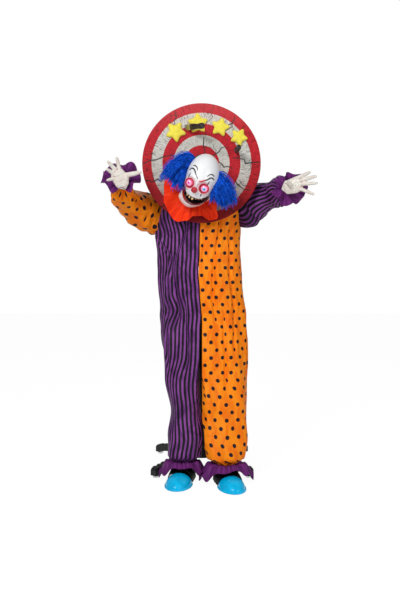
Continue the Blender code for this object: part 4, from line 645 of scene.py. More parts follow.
def dress_half(side, cloth):
    bm = bmesh.new()
    levels = int(round((CROTCH_Z - HEM_Z) / ROW_STEP))
    legs, inseam = [], []
    for k in range(levels + 1):
        z = lerp(HEM_Z, CROTCH_Z, k / levels)
        legs.append(flat_row(side, z, lambda t: leg_point(side, z, t, True)))
        inseam.append(inseam_row(side, z, legs[-1]))
    levels = int(round((NECK_Z - CROTCH_Z) / ROW_STEP))
    body = [legs[-1]]
    for k in range(1, levels + 1):
        z = lerp(CROTCH_Z, NECK_Z, k / levels)
        body.append(flat_row(side, z, lambda t: body_point(side, z, t)))
    for rows in (legs, inseam, body):
        cloth_grid(bm, rows)
    hole = at(*ARMHOLE[side])
    inside = [f for f in bm.faces if in_armhole(f.calc_center_median() - hole, side)]
    bmesh.ops.delete(bm, geom=inside, context="FACES")
    suit = piece("suit_cloth_" + side, sewn(bm), cloth, "stand", ["suit_" + side])
    wall(suit, CLOTH_THICK)


dress_half("right", STRIPED)
dress_half("left", DOTTED)

# %% [markdown]
# ## The sleeves
# A sleeve is a wide tube gathered on the forearm. It crosses the elbow, so it
# rides on neither of the two arm bodies.

# %% Sleeves
ELBOW = {"right": Vector((-0.358, -0.120, 1.232)), "left": Vector((0.326, -0.118, 1.300))}
WRIST = {"right": Vector((-0.347, -0.262, 1.322)), "left": Vector((0.366, -0.258, 1.303))}
SLEEVE = {
    "right": (((-0.176, 0.0, 1.196), 0.040, 0.086), ((-0.208, 0.0, 1.196), 0.054, 0.092),
              ((-0.244, -0.010, 1.206), 0.070, 0.088), ((-0.292, -0.040, 1.226), 0.078, 0.082),
              ((-0.332, -0.095, 1.250), 0.068, 0.062), ((-0.354, -0.150, 1.268), 0.060, 0.048),
              ((-0.353, -0.200, 1.290), 0.048, 0.042)),
    "left": (((0.160, 0.0, 1.212), 0.036, 0.044), ((0.188, 0.0, 1.218), 0.058, 0.090),
             ((0.236, -0.014, 1.250), 0.068, 0.088), ((0.284, -0.056, 1.276), 0.062, 0.072),
             ((0.326, -0.106, 1.288), 0.050, 0.060), ((0.348, -0.152, 1.298), 0.052, 0.068),
             ((0.356, -0.198, 1.304), 0.044, 0.058)),
}
CUFF_R = 0.0124
ROUND = {"right": 0.378, "left": 0.429}
PHASE = {"right": (0.4, 0), "left": (1.9, 9)}


def guide_point(guide, t):
    """A place along a drawn guide, rounded through its points."""
    spot = t * (len(guide) - 1)
    k = min(int(spot), len(guide) - 2)
    f = spot - k
    a, b = guide[max(k - 1, 0)], guide[min(k + 2, len(guide) - 1)]
    p, q = guide[k], guide[k + 1]
    bend, turn = 2 * a - 5 * p + 4 * q - b, 3 * p - a - 3 * q + b
    return 0.5 * (2 * p + (q - a) * f + bend * f * f + turn * f ** 3)


def smooth_line(points, count):
    return [guide_point(points, k / count) for k in range(count + 1)]


def sleeve_size(size, side, angle, t):
    """Half width and half height of the sleeve in a direction, with folds where it is loose."""
    phase, seed = PHASE[side]
    loose = ease((1.0 - t) / 0.22)
    ripple = 1.0 + 0.030 * loose * math.sin(6 * angle + phase + 5.2 * t)
    ripple += 0.16 * (1.0 - loose) * math.sin(15 * angle)
    near = Vector((math.cos(angle) * 2.1, math.sin(angle) * 2.1, t * 7.0 + seed))
    ripple += loose * 0.085 * noise.noise(near) + loose * 0.035 * noise.noise(near * 2.7)
    under = 0.5 - 0.5 * math.sin(angle)
    ripple += loose * 0.030 * math.sin(t * 46.0 + 1.6 * math.sin(angle + 1.0)) * under
    return max(size.x, CUFF_R) * ripple, max(size.y, CUFF_R) * ripple


def sleeve(side, cloth):
    cuff = WRIST[side] - (WRIST[side] - ELBOW[side]).normalized() * 0.022
    keys = [(Vector(c), w, t) for c, w, t in SLEEVE[side]] + [(cuff, CUFF_R, CUFF_R)]
    rings, columns = 72, 120
    centres = smooth_line([k[0] for k in keys], rings)
    sizes = smooth_line([Vector((k[1], k[2], 0.0)) for k in keys], rings)
    rows, run = [], 0.0
    for k, (centre, size) in enumerate(zip(centres, sizes)):
        way = (centres[min(k + 1, rings)] - centres[max(k - 1, 0)]).normalized()
        across = way.cross(Vector((0, 0, 1))).normalized()
        over = across.cross(way).normalized()
        run += (centre - centres[max(k - 1, 0)]).length
        row = []
        for i in range(columns + 1):
            angle = 2 * math.pi * i / columns
            wide, tall = sleeve_size(size, side, angle, k / rings)
            point = centre + across * (wide * math.cos(angle)) + over * (tall * math.sin(angle))
            row.append((at(*point), (i / columns * ROUND[side], run * 0.78)))
        rows.append(row)
    bm = bmesh.new()
    cloth_grid(bm, rows)
    made = piece("sleeve_cloth_" + side, sewn(bm), cloth, None, ["sleeve_" + side])
    wall(made, CLOTH_THICK)
    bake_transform(made)


sleeve("right", DOTTED)
sleeve("left", STRIPED)

# %% [markdown]
# ## The frills
# A frill is a strip of satin gathered on an elastic edge. Its inner edge is a
# tight ring and its free edge is much longer, so it stands in waves. The grid
# is laid in rings, and the wave grows towards the free edge.

# %% Frills at wrists and ankles
FRILL_WIDE, FRILL_THICK = 0.075, 0.0008
WRIST_WAVES, ANKLE_WAVES = 7, 9


def frill(name, ring, bands, columns, cloth, body, node):
    rows = []
    for k in range(bands + 1):
        rows.append([(ring(k / bands, 2 * math.pi * i / columns), (2.4 * i / columns, 0.1 * k / bands))
                     for i in range(columns + 1)])
    bm = bmesh.new()
    cloth_grid(bm, rows)
    made = piece(name, sewn(bm), cloth, body, [node])
    wall(made, FRILL_THICK, 0.0)


def wrist_ring(side, outer, drift):
    way = (WRIST[side] - ELBOW[side]).normalized()
    spin = way.to_track_quat("Z", "Y").to_matrix()
    centre = WRIST[side] + way * 0.006

    def ring(t, angle):
        pleat = math.sin(WRIST_WAVES * angle + 0.9 * math.sin(2 * angle))
        fine = math.sin(3.0 * WRIST_WAVES * angle + 2.0 * math.sin(angle))
        lobes = 0.085 * t * math.cos(WRIST_WAVES * angle + 0.8)
        radius = lerp(0.0172, outer, t) * (1.0 + 0.07 * t * math.sin(2 * angle + 0.7) + lobes)
        height = -0.010 * t * t + 0.019 * t * pleat + 0.0030 * math.sin(math.pi * min(t * 1.3, 1.0)) * fine
        point = Vector((radius * math.cos(angle), radius * math.sin(angle), height))
        return at(*(centre + spin @ point + Vector(drift) * t))

    return ring


def ankle_ring(side, outer, turn):
    ankle = ANKLE[side]

    def ring(t, angle):
        front = max(0.0, -math.sin(angle - turn)) ** 2.4
        radius = lerp(ANKLE_R + 0.0008, outer, t ** 0.9) * (1.0 + 0.06 * t * math.sin(2 * angle + 0.7))
        side_z = along(((0.0, HEM_Z - 0.0011), (0.45, 0.080), (1.0, 0.026)), t)
        front_z = along(((0.0, HEM_Z - 0.0011), (0.45, 0.0930), (1.0, 0.0780)), t)
        swing = 0.0170 * t * (1.0 - 0.72 * front) * math.sin(ANKLE_WAVES * angle + 0.8 * math.sin(2 * angle))
        swing += 0.0028 * math.sin(math.pi * min(1.2 * t, 1.0)) * math.sin(24 * angle)
        height = lerp(side_z, front_z, front) + swing
        return at(ankle.x + radius * math.cos(angle), ankle.y + radius * math.sin(angle), height)

    return ring


for side, outer, drift in (("right", 0.080, (-0.010, 0.0, 0.034)), ("left", 0.074, (0.024, 0.012, 0.0))):
    frill("wrist_frill_" + side, wrist_ring(side, outer, drift), 16, 216, PURPLE, "forearm_" + side,
          "wrist_ruffle_" + side)
for side, outer, degrees in (("right", 0.104, 0.0), ("left", 0.118, 11.0)):
    frill("ankle_frill_" + side, ankle_ring(side, outer, math.radians(degrees)), 16, 216, PURPLE, "stand",
          "ankle_ruffle_" + side)

# %% The collar
NECK = Vector((-0.022, -0.172, 1.315))
NECK_R = 0.034
COLLAR_REACH = ((0.0, 0.085), (40.0, 0.075), (80.0, 0.080), (130.0, 0.105), (165.0, 0.150), (185.0, 0.150),
                (210.0, 0.165), (237.0, 0.180), (252.0, 0.158), (262.0, 0.130), (278.0, 0.128),
                (293.0, 0.160),
                (303.0, 0.166), (314.0, 0.125), (335.0, 0.090), (360.0, 0.085))


def collar_ring(t, angle):
    degrees = math.degrees(angle) % 360.0
    reach = along(COLLAR_REACH, degrees)
    radius = lerp(NECK_R + 0.0008, reach, t)
    twist = angle + 0.55 * t * math.sin(2 * angle + 1.1)
    lobes = abs(math.sin(4 * twist + 1.1 * math.sin(2 * twist + 0.6) + 0.5))
    pleat = 0.012 * t - 0.030 * t * lobes ** 0.62
    pleat += 0.0040 * t * (1.0 - 0.5 * t) * math.sin(11 * twist + 1.0 + 2.0 * t)
    pleat += 0.022 * t * noise.noise(Vector((math.cos(angle) * 2.1, math.sin(angle) * 2.1, 2.6 * t)))
    centre = NECK + Vector((0.0, -0.006, 0.0))
    return at(centre.x + radius * math.cos(angle), centre.y + 0.006 * t + pleat,
              centre.z + radius * math.sin(angle))


frill("collar_cloth", collar_ring, 24, 260, ORANGE_RED, "head", "collar")

# %% [markdown]
# ## The head's own frame
# The head hangs tilted and turned from its shaft. It is far easier to model it
# upright, with x to its left, z up and the face towards -y, and to turn the
# finished mesh into place with one matrix. The matrix is the CAD model's.

# %% The head frame
HEAD_TURN = (Matrix.Rotation(math.radians(20.0), 4, "Y") @ Matrix.Rotation(math.radians(15.0), 4, "X")
             @ Matrix.Rotation(math.radians(-10.0), 4, "Z"))
EYE_MIDDLE = Vector((-0.0245, -0.345, 1.3080))
HEAD_FRAME = Matrix.Translation(at(*(EYE_MIDDLE - HEAD_TURN @ Vector((0.0, -0.073, 0.0))))) @ HEAD_TURN
HALF_WIDE, HALF_DEEP, CROWN, MIDDLE, CHIN = 0.073, 0.088, 0.133, 0.034, -0.104
LEAN = 0.006
EYE_OUT = 0.0335
SEAM_Y = 0.006


def into_head(bm):
    bmesh.ops.transform(bm, matrix=HEAD_FRAME, verts=bm.verts)
    return bm


def skull_point(way, grow=0.0):
    x, y, z = way
    tall = CROWN - MIDDLE if z >= 0 else MIDDLE - CHIN
    low = max(-z, 0.0)
    wide = HALF_WIDE * (1.0 - 0.20 * low ** 1.7)
    front = HALF_DEEP * (1.0 - 0.10 * low ** 2.0)
    back = HALF_DEEP * (1.0 - 0.42 * low ** 1.5)
    brow = 0.004 * math.exp(-((z + 0.02) / 0.12) ** 2) if y < 0 else 0.0
    deep = front if y < 0 else back
    ahead = y * (deep + grow) - brow * max(-y, 0.0)
    return Vector((x * (wide + grow) - LEAN * max(z, 0.0), ahead, z * (tall + grow) + MIDDLE))


def front_y(x, z, grow=0.0):
    """Where the lower front of the skull lies at a place seen from straight ahead."""
    down = min((MIDDLE - z) / (MIDDLE - CHIN + grow), 0.999)
    wide = HALF_WIDE * (1.0 - 0.20 * max(down, 0.0) ** 1.7) + grow
    deep = HALF_DEEP * (1.0 - 0.10 * down ** 2.0) + grow
    return -deep * math.sqrt(max(1.0 - down ** 2 - (x / wide) ** 2, 0.0004))


def bump(x, z, cx, cz, wide, tall, height):
    return height * math.exp(-((x - cx) / wide) ** 2 - ((z - cz) / tall) ** 2)


# %% [markdown]
# ## The mask
# The face is a thin moulded shell. An icosphere has even faces all round, so
# every feature gets the same fineness: each point is first put on the skull,
# then the brow, the eye plates, the cheeks and the muzzle are raised or sunk.
# The eye holes and the mouth are cut by sliding the nearest points onto the
# edge and deleting what lies inside it.

# %% Sculpt the face
LIP = ((-0.066, -0.028), (-0.052, -0.0365), (-0.045, -0.0430), (-0.030, -0.0525), (-0.0044, -0.0545),
       (0.017, -0.0560),
       (0.0325, -0.0530), (0.044, -0.0440), (0.054, -0.0340), (0.066, -0.027))
EYE_HOLE = 0.0176


def lip_edge(x, y=-0.06):
    front = along(LIP, min(max(x, -0.066), 0.066))
    return lerp(front, -0.049, ease((y + 0.034) / 0.012))


def sculpt(point):
    """Raise and sink the face seen from ahead; the shape fades out round the sides."""
    x, y, z = point
    side = abs(x)
    ahead = ease((-y - 0.012) / 0.030)
    lift = bump(side, z, 0.030, 0.036, 0.024, 0.013, 0.0050) + bump(side, z, 0.0, 0.024, 0.012, 0.016,
                                                                    -0.0008)
    lift += bump(side, z, 0.0, 0.004, 0.0085, 0.022, 0.0052) + bump(side, z, 0.047, -0.026, 0.014, 0.012,
                                                                    0.0040)
    lift += bump(side, z, 0.016, -0.039, 0.015, 0.010, 0.0058) + bump(side, z, 0.0, -0.030, 0.010, 0.012,
                                                                      0.0030)
    fold_z = lerp(-0.020, -0.040, ease((side - 0.014) / 0.038))
    fold_line = math.exp(-((z - fold_z) / 0.0030) ** 2) * ease((side - 0.012) / 0.006)
    fold_line *= ease((0.056 - side) / 0.008)
    lift -= 0.0030 * fold_line
    for height in (0.058, 0.071, 0.084):
        wrinkle = math.exp(-((z - height + 0.004 * math.cos(side * 60.0)) / 0.0022) ** 2)
        lift -= 0.0006 * wrinkle * ease((0.045 - side) / 0.02)
    edge = z - lip_edge(x, y)
    lift += 0.0026 * math.exp(-((edge - 0.0022) / 0.0028) ** 2)
    y -= lift * ahead
    away = math.hypot(side - EYE_OUT, z)
    plate = -0.0680 + 0.25 * (side - EYE_OUT) - 0.10 * abs(z)
    plate -= 0.0030 * math.exp(-((away - 0.0200) / 0.0026) ** 2)
    blend = ease((0.0330 - away) / 0.0120) * (1.0 if point.y < 0 else 0.0)
    return Vector((x, lerp(y, plate, blend), z))


def face_shell():
    bm = bmesh.new()
    bmesh.ops.create_icosphere(bm, subdivisions=7, radius=1.0)
    cut_away(bm, (0, 0.068, 0), (0, 1, 0))
    for vert in bm.verts:
        vert.co = sculpt(skull_point(vert.co))
        if abs(vert.co.y - SEAM_Y) < 0.0004:
            vert.co.y = SEAM_Y - 0.0003
        away = math.hypot(abs(vert.co.x) - EYE_OUT, vert.co.z)
        if abs(away - EYE_HOLE) < 0.0005 and vert.co.y < -0.02:
            side = math.copysign(EYE_OUT, vert.co.x)
            vert.co.x = side + (vert.co.x - side) * EYE_HOLE / away
            vert.co.z *= EYE_HOLE / away
        below = vert.co.z - lip_edge(vert.co.x, vert.co.y)
        if abs(below) < 0.0006:
            vert.co.z -= below
    gone = []
    for face in bm.faces:
        middle = face.calc_center_median()
        in_eye = math.hypot(abs(middle.x) - EYE_OUT, middle.z) < EYE_HOLE - 0.0001 and middle.y < -0.02
        if in_eye or middle.z < lip_edge(middle.x, middle.y) - 0.00005:
            gone.append(face)
    bmesh.ops.delete(bm, geom=gone, context="FACES")
    return bm


face_bm = face_shell()
print("face shell:", len(face_bm.faces), "faces")

# %% [markdown]
# ### The painted face
# The brows and lines are brush strokes. For each point of the shell the
# distance to the nearest stroke is stored on the mesh, and the material turns
# that distance into a sharp, slightly uneven painted edge. The numbers are
# places on the front of the head, in millimetres.

# %% Brush strokes
BLACK = (
    (((-54, 51), (-47, 61), (-38, 64), (-28, 60), (-20.9, 52.6), (-11, 43), (-1.3, 34.6)), 3.1),
    (((-45, 73.5), (-36, 77.5), (-27.7, 76.6), (-20, 71.5), (-14.6, 64.2)), 2.4),
    (((30, 36.5), (35.2, 39.5), (41, 47), (45.9, 52.8), (52, 53), (58.5, 47)), 3.2),
    (((32.3, 55.4), (36, 62.5), (41.4, 67), (48, 66.5), (54.5, 60.5)), 2.5),
    (((-41.5, 43), (-44.2, 31), (-47.0, 18)), 2.2), (((-44.8, -22.5), (-47.5, -29), (-50.5, -34)), 2.5),
    (((47.5, 37), (44.3, 24), (41.0, 14)), 2.1), (((31.5, -24), (30.2, -31), (29.0, -38.5)), 2.4),
)
RED = ((((8.0, 25.5), (15, 27.4), (22, 31.0), (30, 38.0), (34, 42.0)), 3.3),)


def to_segment(xz, a, b):
    """For each place, how far along a straight piece the nearest point is, and how far off."""
    way = b - a
    t = np.clip(((xz - a) @ way) / (way @ way), 0.0, 1.0)
    return t, np.hypot(*(xz - a - t[:, None] * way).T)


def from_strokes(xz, strokes):
    """Signed distance in millimetres to the nearest brush stroke, thinner at its ends."""
    best = np.full(len(xz), 50.0)
    for points, half in strokes:
        line = np.array(points, float)
        steps = np.r_[0.0, np.cumsum(np.hypot(*np.diff(line, axis=0).T))]
        for (a, b), start in zip(zip(line, line[1:]), steps):
            t, away = to_segment(xz, a, b)
            run = (start + t * np.hypot(*(b - a))) / steps[-1]
            width = half * (0.35 + 0.65 * np.sin(np.pi * np.clip(run * 0.92 + 0.06, 0, 1)) ** 0.6)
            best = np.minimum(best, away - width)
    return best


def paint_values(bm):
    local = np.array([[*v.co] for v in bm.verts]) * 1000.0
    xz = local[:, [0, 2]]
    eye_away = np.hypot(np.abs(xz[:, 0]) - EYE_OUT * 1000.0, xz[:, 1])
    lip = np.array([(v.co.z - lip_edge(v.co.x, v.co.y)) * 1000.0 for v in bm.verts])
    front = local[:, 1] < -10.0
    far = np.where(front, 0.0, 60.0)
    halo = np.exp(-((eye_away - 19.0) / 9.0) ** 2)
    halo += 0.45 * np.exp(-((xz[:, 0] - 14) / 12) ** 2 - ((xz[:, 1] - 28) / 9) ** 2)
    shade = np.exp(-((np.abs(xz[:, 0]) - 60) / 10) ** 2 - ((xz[:, 1] - 20) / 40) ** 2)
    shade += 0.7 * np.exp(-((np.abs(xz[:, 0]) - 20) / 10) ** 2 - ((xz[:, 1] + 30) / 7) ** 2)
    return {"black": from_strokes(xz, BLACK) + far, "red": from_strokes(xz, RED) + far,
            "rim": np.abs(eye_away - 19.2) - 2.9 + far, "halo": halo * front, "shade": shade,
            "lip": lip}


values = paint_values(face_bm)

# %% Paint of the mask
WHITE = (0.86, 0.87, 0.88)
PAINTS = (("rim", (0.54, 0.002, 0.020), 0.7), ("red", (0.72, 0.006, 0.030), 0.8),
          ("black", (0.016, 0.015, 0.017), 0.6))
MASK_THICK = 0.0030


def mask_paint():
    made, tree, shader = finish("painted mask", WHITE, 0.30, Coat_Weight=0.25, Coat_Roughness=0.18)
    grained = grain(tree, 420.0, 0.08, 30.0)
    uneven = centred(tree, grained["Fine"], 0.9)
    tone = mix(tree, ramp(tree, grained["Blotch"], 0.35, 0.75, 0.0, 0.35), WHITE, (0.74, 0.75, 0.80))
    tone = tinted(tree, tone, reading(tree, "shade"), 0.45, (0.52, 0.53, 0.64))
    tone = tinted(tree, tone, reading(tree, "halo"), 0.50, (0.90, 0.22, 0.30))
    for name, color, soft in PAINTS:
        edge = maths(tree, "ADD", reading(tree, name), uneven)
        tone = mix(tree, ramp(tree, edge, soft, -soft), tone, color)
    lip = maths(tree, "ADD", reading(tree, "lip"), uneven)
    tone = mix(tree, ramp(tree, lip, 4.4, 3.2), tone, (0.115, 0.008, 0.014))
    rough = ramp(tree, grained["Blotch"], 0.3, 0.7, 0.24, 0.38)
    fill(tree, shader, {"Base Color": tone, "Normal": grained["Normal"], "Roughness": rough})
    return made


mask = piece("painted_mask", into_head(face_bm), mask_paint(), "head", ["face_mask"])
for name, numbers in values.items():
    store(mask, name, numbers)
wall(mask, MASK_THICK)

# %% [markdown]
# ## The back of the head
# Behind the mask's seam the head is a plain shell with the same outline, and a
# boss that clamps the shaft. The boss is one turned profile.

# %% Back shell and boss
def turned(bm, profile, base, way, steps=48):
    """Turn a profile of (radius, height) points round a line."""
    ring = [bm.verts.new((r, 0.0, h)) for r, h in profile]
    edges = [bm.edges.new(pair) for pair in zip(ring, ring[1:])]
    bmesh.ops.spin(bm, geom=ring + edges, cent=(0, 0, 0), axis=(0, 0, 1), angle=2 * math.pi,
                   steps=steps, use_merge=True)
    linked = set(ring)
    grown = list(ring)
    while grown:
        vert = grown.pop()
        for edge in vert.link_edges:
            other = edge.other_vert(vert)
            if other not in linked:
                linked.add(other)
                grown.append(other)
    bmesh.ops.remove_doubles(bm, verts=list(linked), dist=0.00002)
    linked = [v for v in linked if v.is_valid]
    spin = Vector(way).to_track_quat("Z", "Y").to_matrix().to_4x4()
    bmesh.ops.transform(bm, matrix=Matrix.Translation(base) @ spin, verts=linked)
    faces = {f for v in linked for f in v.link_faces}
    bmesh.ops.recalc_face_normals(bm, faces=list(faces))


SHELL = blotched("head shell", (0.80, 0.80, 0.81), 0.34, (900.0, 0.12, 26.0), (0.35, 0.7),
                 ((0.80, 0.80, 0.81), (0.70, 0.71, 0.73)), Coat_Weight=0.15)
bm = bmesh.new()
bmesh.ops.create_icosphere(bm, subdivisions=6, radius=1.0)
cut_away(bm, (0, 0.072, 0), (0, -1, 0))
for vert in bm.verts:
    vert.co = skull_point(vert.co)
into_head(bm)
turned(bm, ((0.0075, 0.0), (0.0320, 0.0), (0.0338, 0.0018), (0.0338, 0.040)), at(*NECK), (0, -1, 0))
head_back = piece("head_back_shell", bm, SHELL, "head", ["head_back"])
wall(head_back, MASK_THICK)

# %% [markdown]
# ## The jaw
# The jaw is a separate shell round the chin, a little larger than the skull,
# with two arms up to its hinge in the cheeks. Its top edge carries a rolled
# lower lip, drawn as a thick line with a round section.

# %% Jaw shell and lower lip
def jaw_edge(x):
    if abs(x) > 0.064:
        return -0.028
    return -0.0860 + 0.047 * (min(abs(x), 0.060) / 0.060) ** 2.4 + max(abs(x) - 0.060, 0.0) * 2.75


def jaw_shell():
    bm = bmesh.new()
    bmesh.ops.create_icosphere(bm, subdivisions=7, radius=1.0)
    cut_away(bm, (0, 0.128, 0), (0, 1, 0))
    cut_away(bm, (0, 0, -0.25), (0, 0, 1))
    for vert in bm.verts:
        point = skull_point(vert.co, 0.0074)
        below = ease((-0.042 - point.z) / 0.040)
        point.x += math.copysign(0.006 * below * ease(abs(point.x) / 0.040), point.x) - 0.0165 * below
        if point.x < 0:
            point.x -= 0.0070 * ease((-0.020 - point.z) / 0.024) * ease(-point.x / 0.050)
        point.z -= 0.0045 * below * ease((0.020 - point.x) / 0.050)
        side = abs(point.x)
        lift = bump(side, point.z, 0.0, -0.099, 0.017, 0.010, 0.0050) + bump(side, point.z, 0.036, -0.074,
                                                                             0.012, 0.014, 0.0016)
        point.y -= lift * ease((-point.y - 0.01) / 0.03)
        above = point.z - jaw_edge(point.x)
        if abs(above) < 0.0007:
            point.z -= above
        vert.co = point
    gone = [f for f in bm.faces if f.calc_center_median().z > jaw_edge(f.calc_center_median().x) + 0.00005]
    bmesh.ops.delete(bm, geom=gone, context="FACES")
    return bm


def round_curve(name, resolution):
    """A curve whose lines have a round section."""
    curve = bpy.data.curves.new(name, "CURVE")
    curve.dimensions = "3D"
    curve.bevel_depth = 1.0
    curve.bevel_resolution = resolution
    curve.use_fill_caps = True
    return curve


def add_spline(curve, points, radii):
    """A line that swells and tapers with its radii."""
    spline = curve.splines.new("POLY")
    spline.points.add(len(points) - 1)
    for p, co, radius in zip(spline.points, points, radii):
        p.co = (*co, 1.0)
        p.radius = radius


def evaluated(obj):
    bpy.context.view_layer.update()
    return bpy.data.meshes.new_from_object(obj.evaluated_get(bpy.context.evaluated_depsgraph_get()))


def meshed(curve):
    holder = bpy.data.objects.new("holder", curve)
    bpy.context.scene.collection.objects.link(holder)
    mesh = evaluated(holder)
    bpy.data.objects.remove(holder)
    return mesh


def add_line(bm, points, radii):
    curve = round_curve("line", 3)
    add_spline(curve, points, radii)
    mesh = meshed(curve)
    bm.from_mesh(mesh)
    bpy.data.meshes.remove(mesh)


def jaw_paint():
    pale = (0.90, 0.68, 0.66)
    made, tree, shader = finish("jaw skin", pale, 0.34, Coat_Weight=0.2)
    grained = grain(tree, 420.0, 0.10, 34.0)
    uneven = centred(tree, grained["Fine"], 1.4)
    tone = mix(tree, ramp(tree, grained["Blotch"], 0.40, 0.66), (0.93, 0.80, 0.78), pale)
    tone = tinted(tree, tone, reading(tree, "blush"), 0.35, (0.80, 0.44, 0.42))
    lip = maths(tree, "ADD", reading(tree, "lip"), uneven)
    tone = mix(tree, ramp(tree, lip, 6.8, 5.4), tone, (0.17, 0.010, 0.020))
    # Painted shade: the jaw's inner side, seen through the mouth, is made dark.
    inside = step(tree, "ShaderNodeNewGeometry", out=6)
    tone = mix(tree, inside, tone, (0.10, 0.008, 0.014))
    fill(tree, shader, {"Base Color": tone, "Normal": grained["Normal"]})
    return made


jaw_bm = jaw_shell()
edge_x = [lerp(-0.0615, 0.0615, i / 48) for i in range(49)]
edge_line = [Vector((x, front_y(x, jaw_edge(x), 0.0050), jaw_edge(x) - 0.0006)) for x in edge_x]
add_line(jaw_bm, edge_line, [0.0015 + 0.0023 * math.sin(math.pi * i / 48) ** 0.7 for i in range(49)])
JAW_PIVOT = Vector((0.0, -0.008, -0.036))
for side in (-1, 1):
    turned(jaw_bm, ((0.0, 0.0), (0.0046, 0.0), (0.0046, 0.0008), (0.0040, 0.0014), (0.0, 0.0014)),
           JAW_PIVOT + Vector((side * 0.0738, 0.0, 0.0)), (side, 0, 0), 24)
local = np.array([[*v.co] for v in jaw_bm.verts])
jaw_values = {
    "lip": [(jaw_edge(x) - z) * 1000.0 + (0.0 if abs(x) < 0.0605 else 9.0) for x, y, z in local],
    "blush": [math.exp(-((abs(x) - 0.044) / 0.014) ** 2) * 0.9 for x, y, z in local],
}
jaw = piece("jaw_shell", into_head(jaw_bm), jaw_paint(), "lower_jaw", ["jaw"])
for name, numbers in jaw_values.items():
    store(jaw, name, numbers)
print("jaw:", len(jaw.data.polygons), "faces")

# %% [markdown]
# ## Inside the mouth
# Behind the lips it is black, with a dark red gum and six crooked teeth. The
# black is painted shade: the hollow is a bowl seen from inside. Each tooth
# starts as a cube, is pulled in towards its tip and rounded.

# %% Mouth hollow, gum and teeth
def wet(name, color, dark, roughness, scale):
    return blotched(name, color, roughness, (scale, 0.35, scale * 0.12), (0.38, 0.66), (dark, color),
                    Coat_Weight=0.4, Coat_Roughness=0.12)


bm = bmesh.new()
bmesh.ops.create_uvsphere(bm, u_segments=48, v_segments=32, radius=1.0)
cut_away(bm, (0, 0.05, 0), (0, -1, 0))
bmesh.ops.scale(bm, vec=(0.0470, 0.038, 0.0290), verts=bm.verts)
bmesh.ops.translate(bm, vec=(0.0, -0.042, -0.0560), verts=bm.verts)
bmesh.ops.reverse_faces(bm, faces=bm.faces)
# The mouth's black is painted shade, where the inside of the head lies in shadow.
MOUTH_SHADE = wet("mouth painted shade", (0.020, 0.006, 0.007), (0.006, 0.003, 0.004), 0.45, 180.0)
hollow = piece("mouth_hollow", into_head(bm), MOUTH_SHADE, "head")
wall(hollow, 0.0012, 1.0)

TEETH = ((-0.031, 0.0078, 0.0125, 0.10), (-0.017, 0.0094, 0.0165, -0.06), (-0.002, 0.0114, 0.0190, 0.05),
         (0.012, 0.0074, 0.0120, -0.12), (0.024, 0.0064, 0.0100, 0.08), (0.035, 0.0052, 0.0080, -0.05))


def gum_y(x):
    return -0.0600 * math.sqrt(max(1.0 - (x / 0.0500) ** 2, 0.02))


def teeth_bm():
    bm = bmesh.new()
    for x, wide, tall, lean in TEETH:
        made = bmesh.ops.create_cube(bm, size=1.0)["verts"]
        edges = list({e for v in made for e in v.link_edges})
        bmesh.ops.subdivide_edges(bm, edges=edges, cuts=3, use_grid_fill=True)
        near = [v for v in bm.verts if v.co.length < 1.0]
        for vert in near:
            down = 0.5 - vert.co.z
            round_in = 1.0 - 0.34 * down ** 2.2 - 0.10 * (1.0 - down) ** 3
            corner = 1.0 - 0.16 * (abs(vert.co.x * 2) * abs(vert.co.y * 2)) ** 2
            vert.co.x *= wide * round_in * corner
            vert.co.y *= 0.0062 * (1.0 - 0.45 * down ** 2) * corner
            vert.co.z *= tall * (1.0 - 0.10 * abs(vert.co.x / wide * 2) ** 2)
        turn = Matrix.Rotation(lean, 4, "Y") @ Matrix.Rotation(math.atan2(x, 0.06) * 0.9, 4, "Z")
        place = Matrix.Translation((x, gum_y(x) + 0.0010, -0.0500 - tall / 2 + 0.002)) @ turn
        bmesh.ops.transform(bm, matrix=Matrix.Translation((0, 9.0, 0)) @ place, verts=near)
    bmesh.ops.translate(bm, vec=(0, -9.0, 0), verts=bm.verts)
    return bm


TOOTH = blotched("stained tooth", (0.76, 0.47, 0.20), 0.28, (700.0, 0.12, 120.0), (0.38, 0.64),
                 ((0.64, 0.36, 0.13), (0.94, 0.72, 0.42)), Coat_Weight=0.4)
soften(piece("teeth_row", into_head(teeth_bm()), TOOTH, "head", ["teeth"]), 2)
gum_bm = bmesh.new()
gum_x = [lerp(-0.043, 0.043, i / 32) for i in range(33)]
add_line(gum_bm, [Vector((x, gum_y(x) + 0.0030, -0.0490 + 0.0008 * math.cos(x * 480.0))) for x in gum_x],
         [0.0052 * (0.6 + 0.4 * math.sin(math.pi * i / 32)) for i in range(33)])
GUM = wet("gum", (0.16, 0.016, 0.018), (0.06, 0.006, 0.008), 0.22, 300.0)
piece("upper_gum", into_head(gum_bm), GUM, "head")

# %% [markdown]
# ## The eyes and the nose
# The eyes light up from inside, so they glow pink and white with a coloured
# iris. An eye is a flattened ball turned to face out of its plate, and its
# rings are drawn from the distance to its own axis, stored on the mesh.

# %% Eyes
def eye_finish(name, iris, pupil):
    made, tree, shader = finish(name, (0.9, 0.5, 0.6), 0.10, Coat_Weight=0.8, Coat_Roughness=0.04,
                                Emission_Strength=0.17)
    away = reading(tree, "away")
    wobble = noisy(tree, object_space(tree), 420.0, 4.0)
    soft = maths(tree, "ADD", away, centred(tree, wobble, 0.10))
    tone = mix(tree, ramp(tree, soft, 0.30, 0.78), (0.96, 0.66, 0.82), (1.0, 0.16, 0.34))
    tone = mix(tree, ramp(tree, soft, 0.78, 0.96), tone, (0.86, 0.03, 0.10))
    tone = mix(tree, ramp(tree, soft, 0.44, 0.36), tone, iris)
    tone = mix(tree, ramp(tree, soft, 0.30, 0.22), tone, paler(iris, 1.5, 0.12))
    tone = mix(tree, ramp(tree, away, 0.21, 0.16), tone, pupil)
    fill(tree, shader, {"Base Color": tone, "Emission Color": tone})
    return made


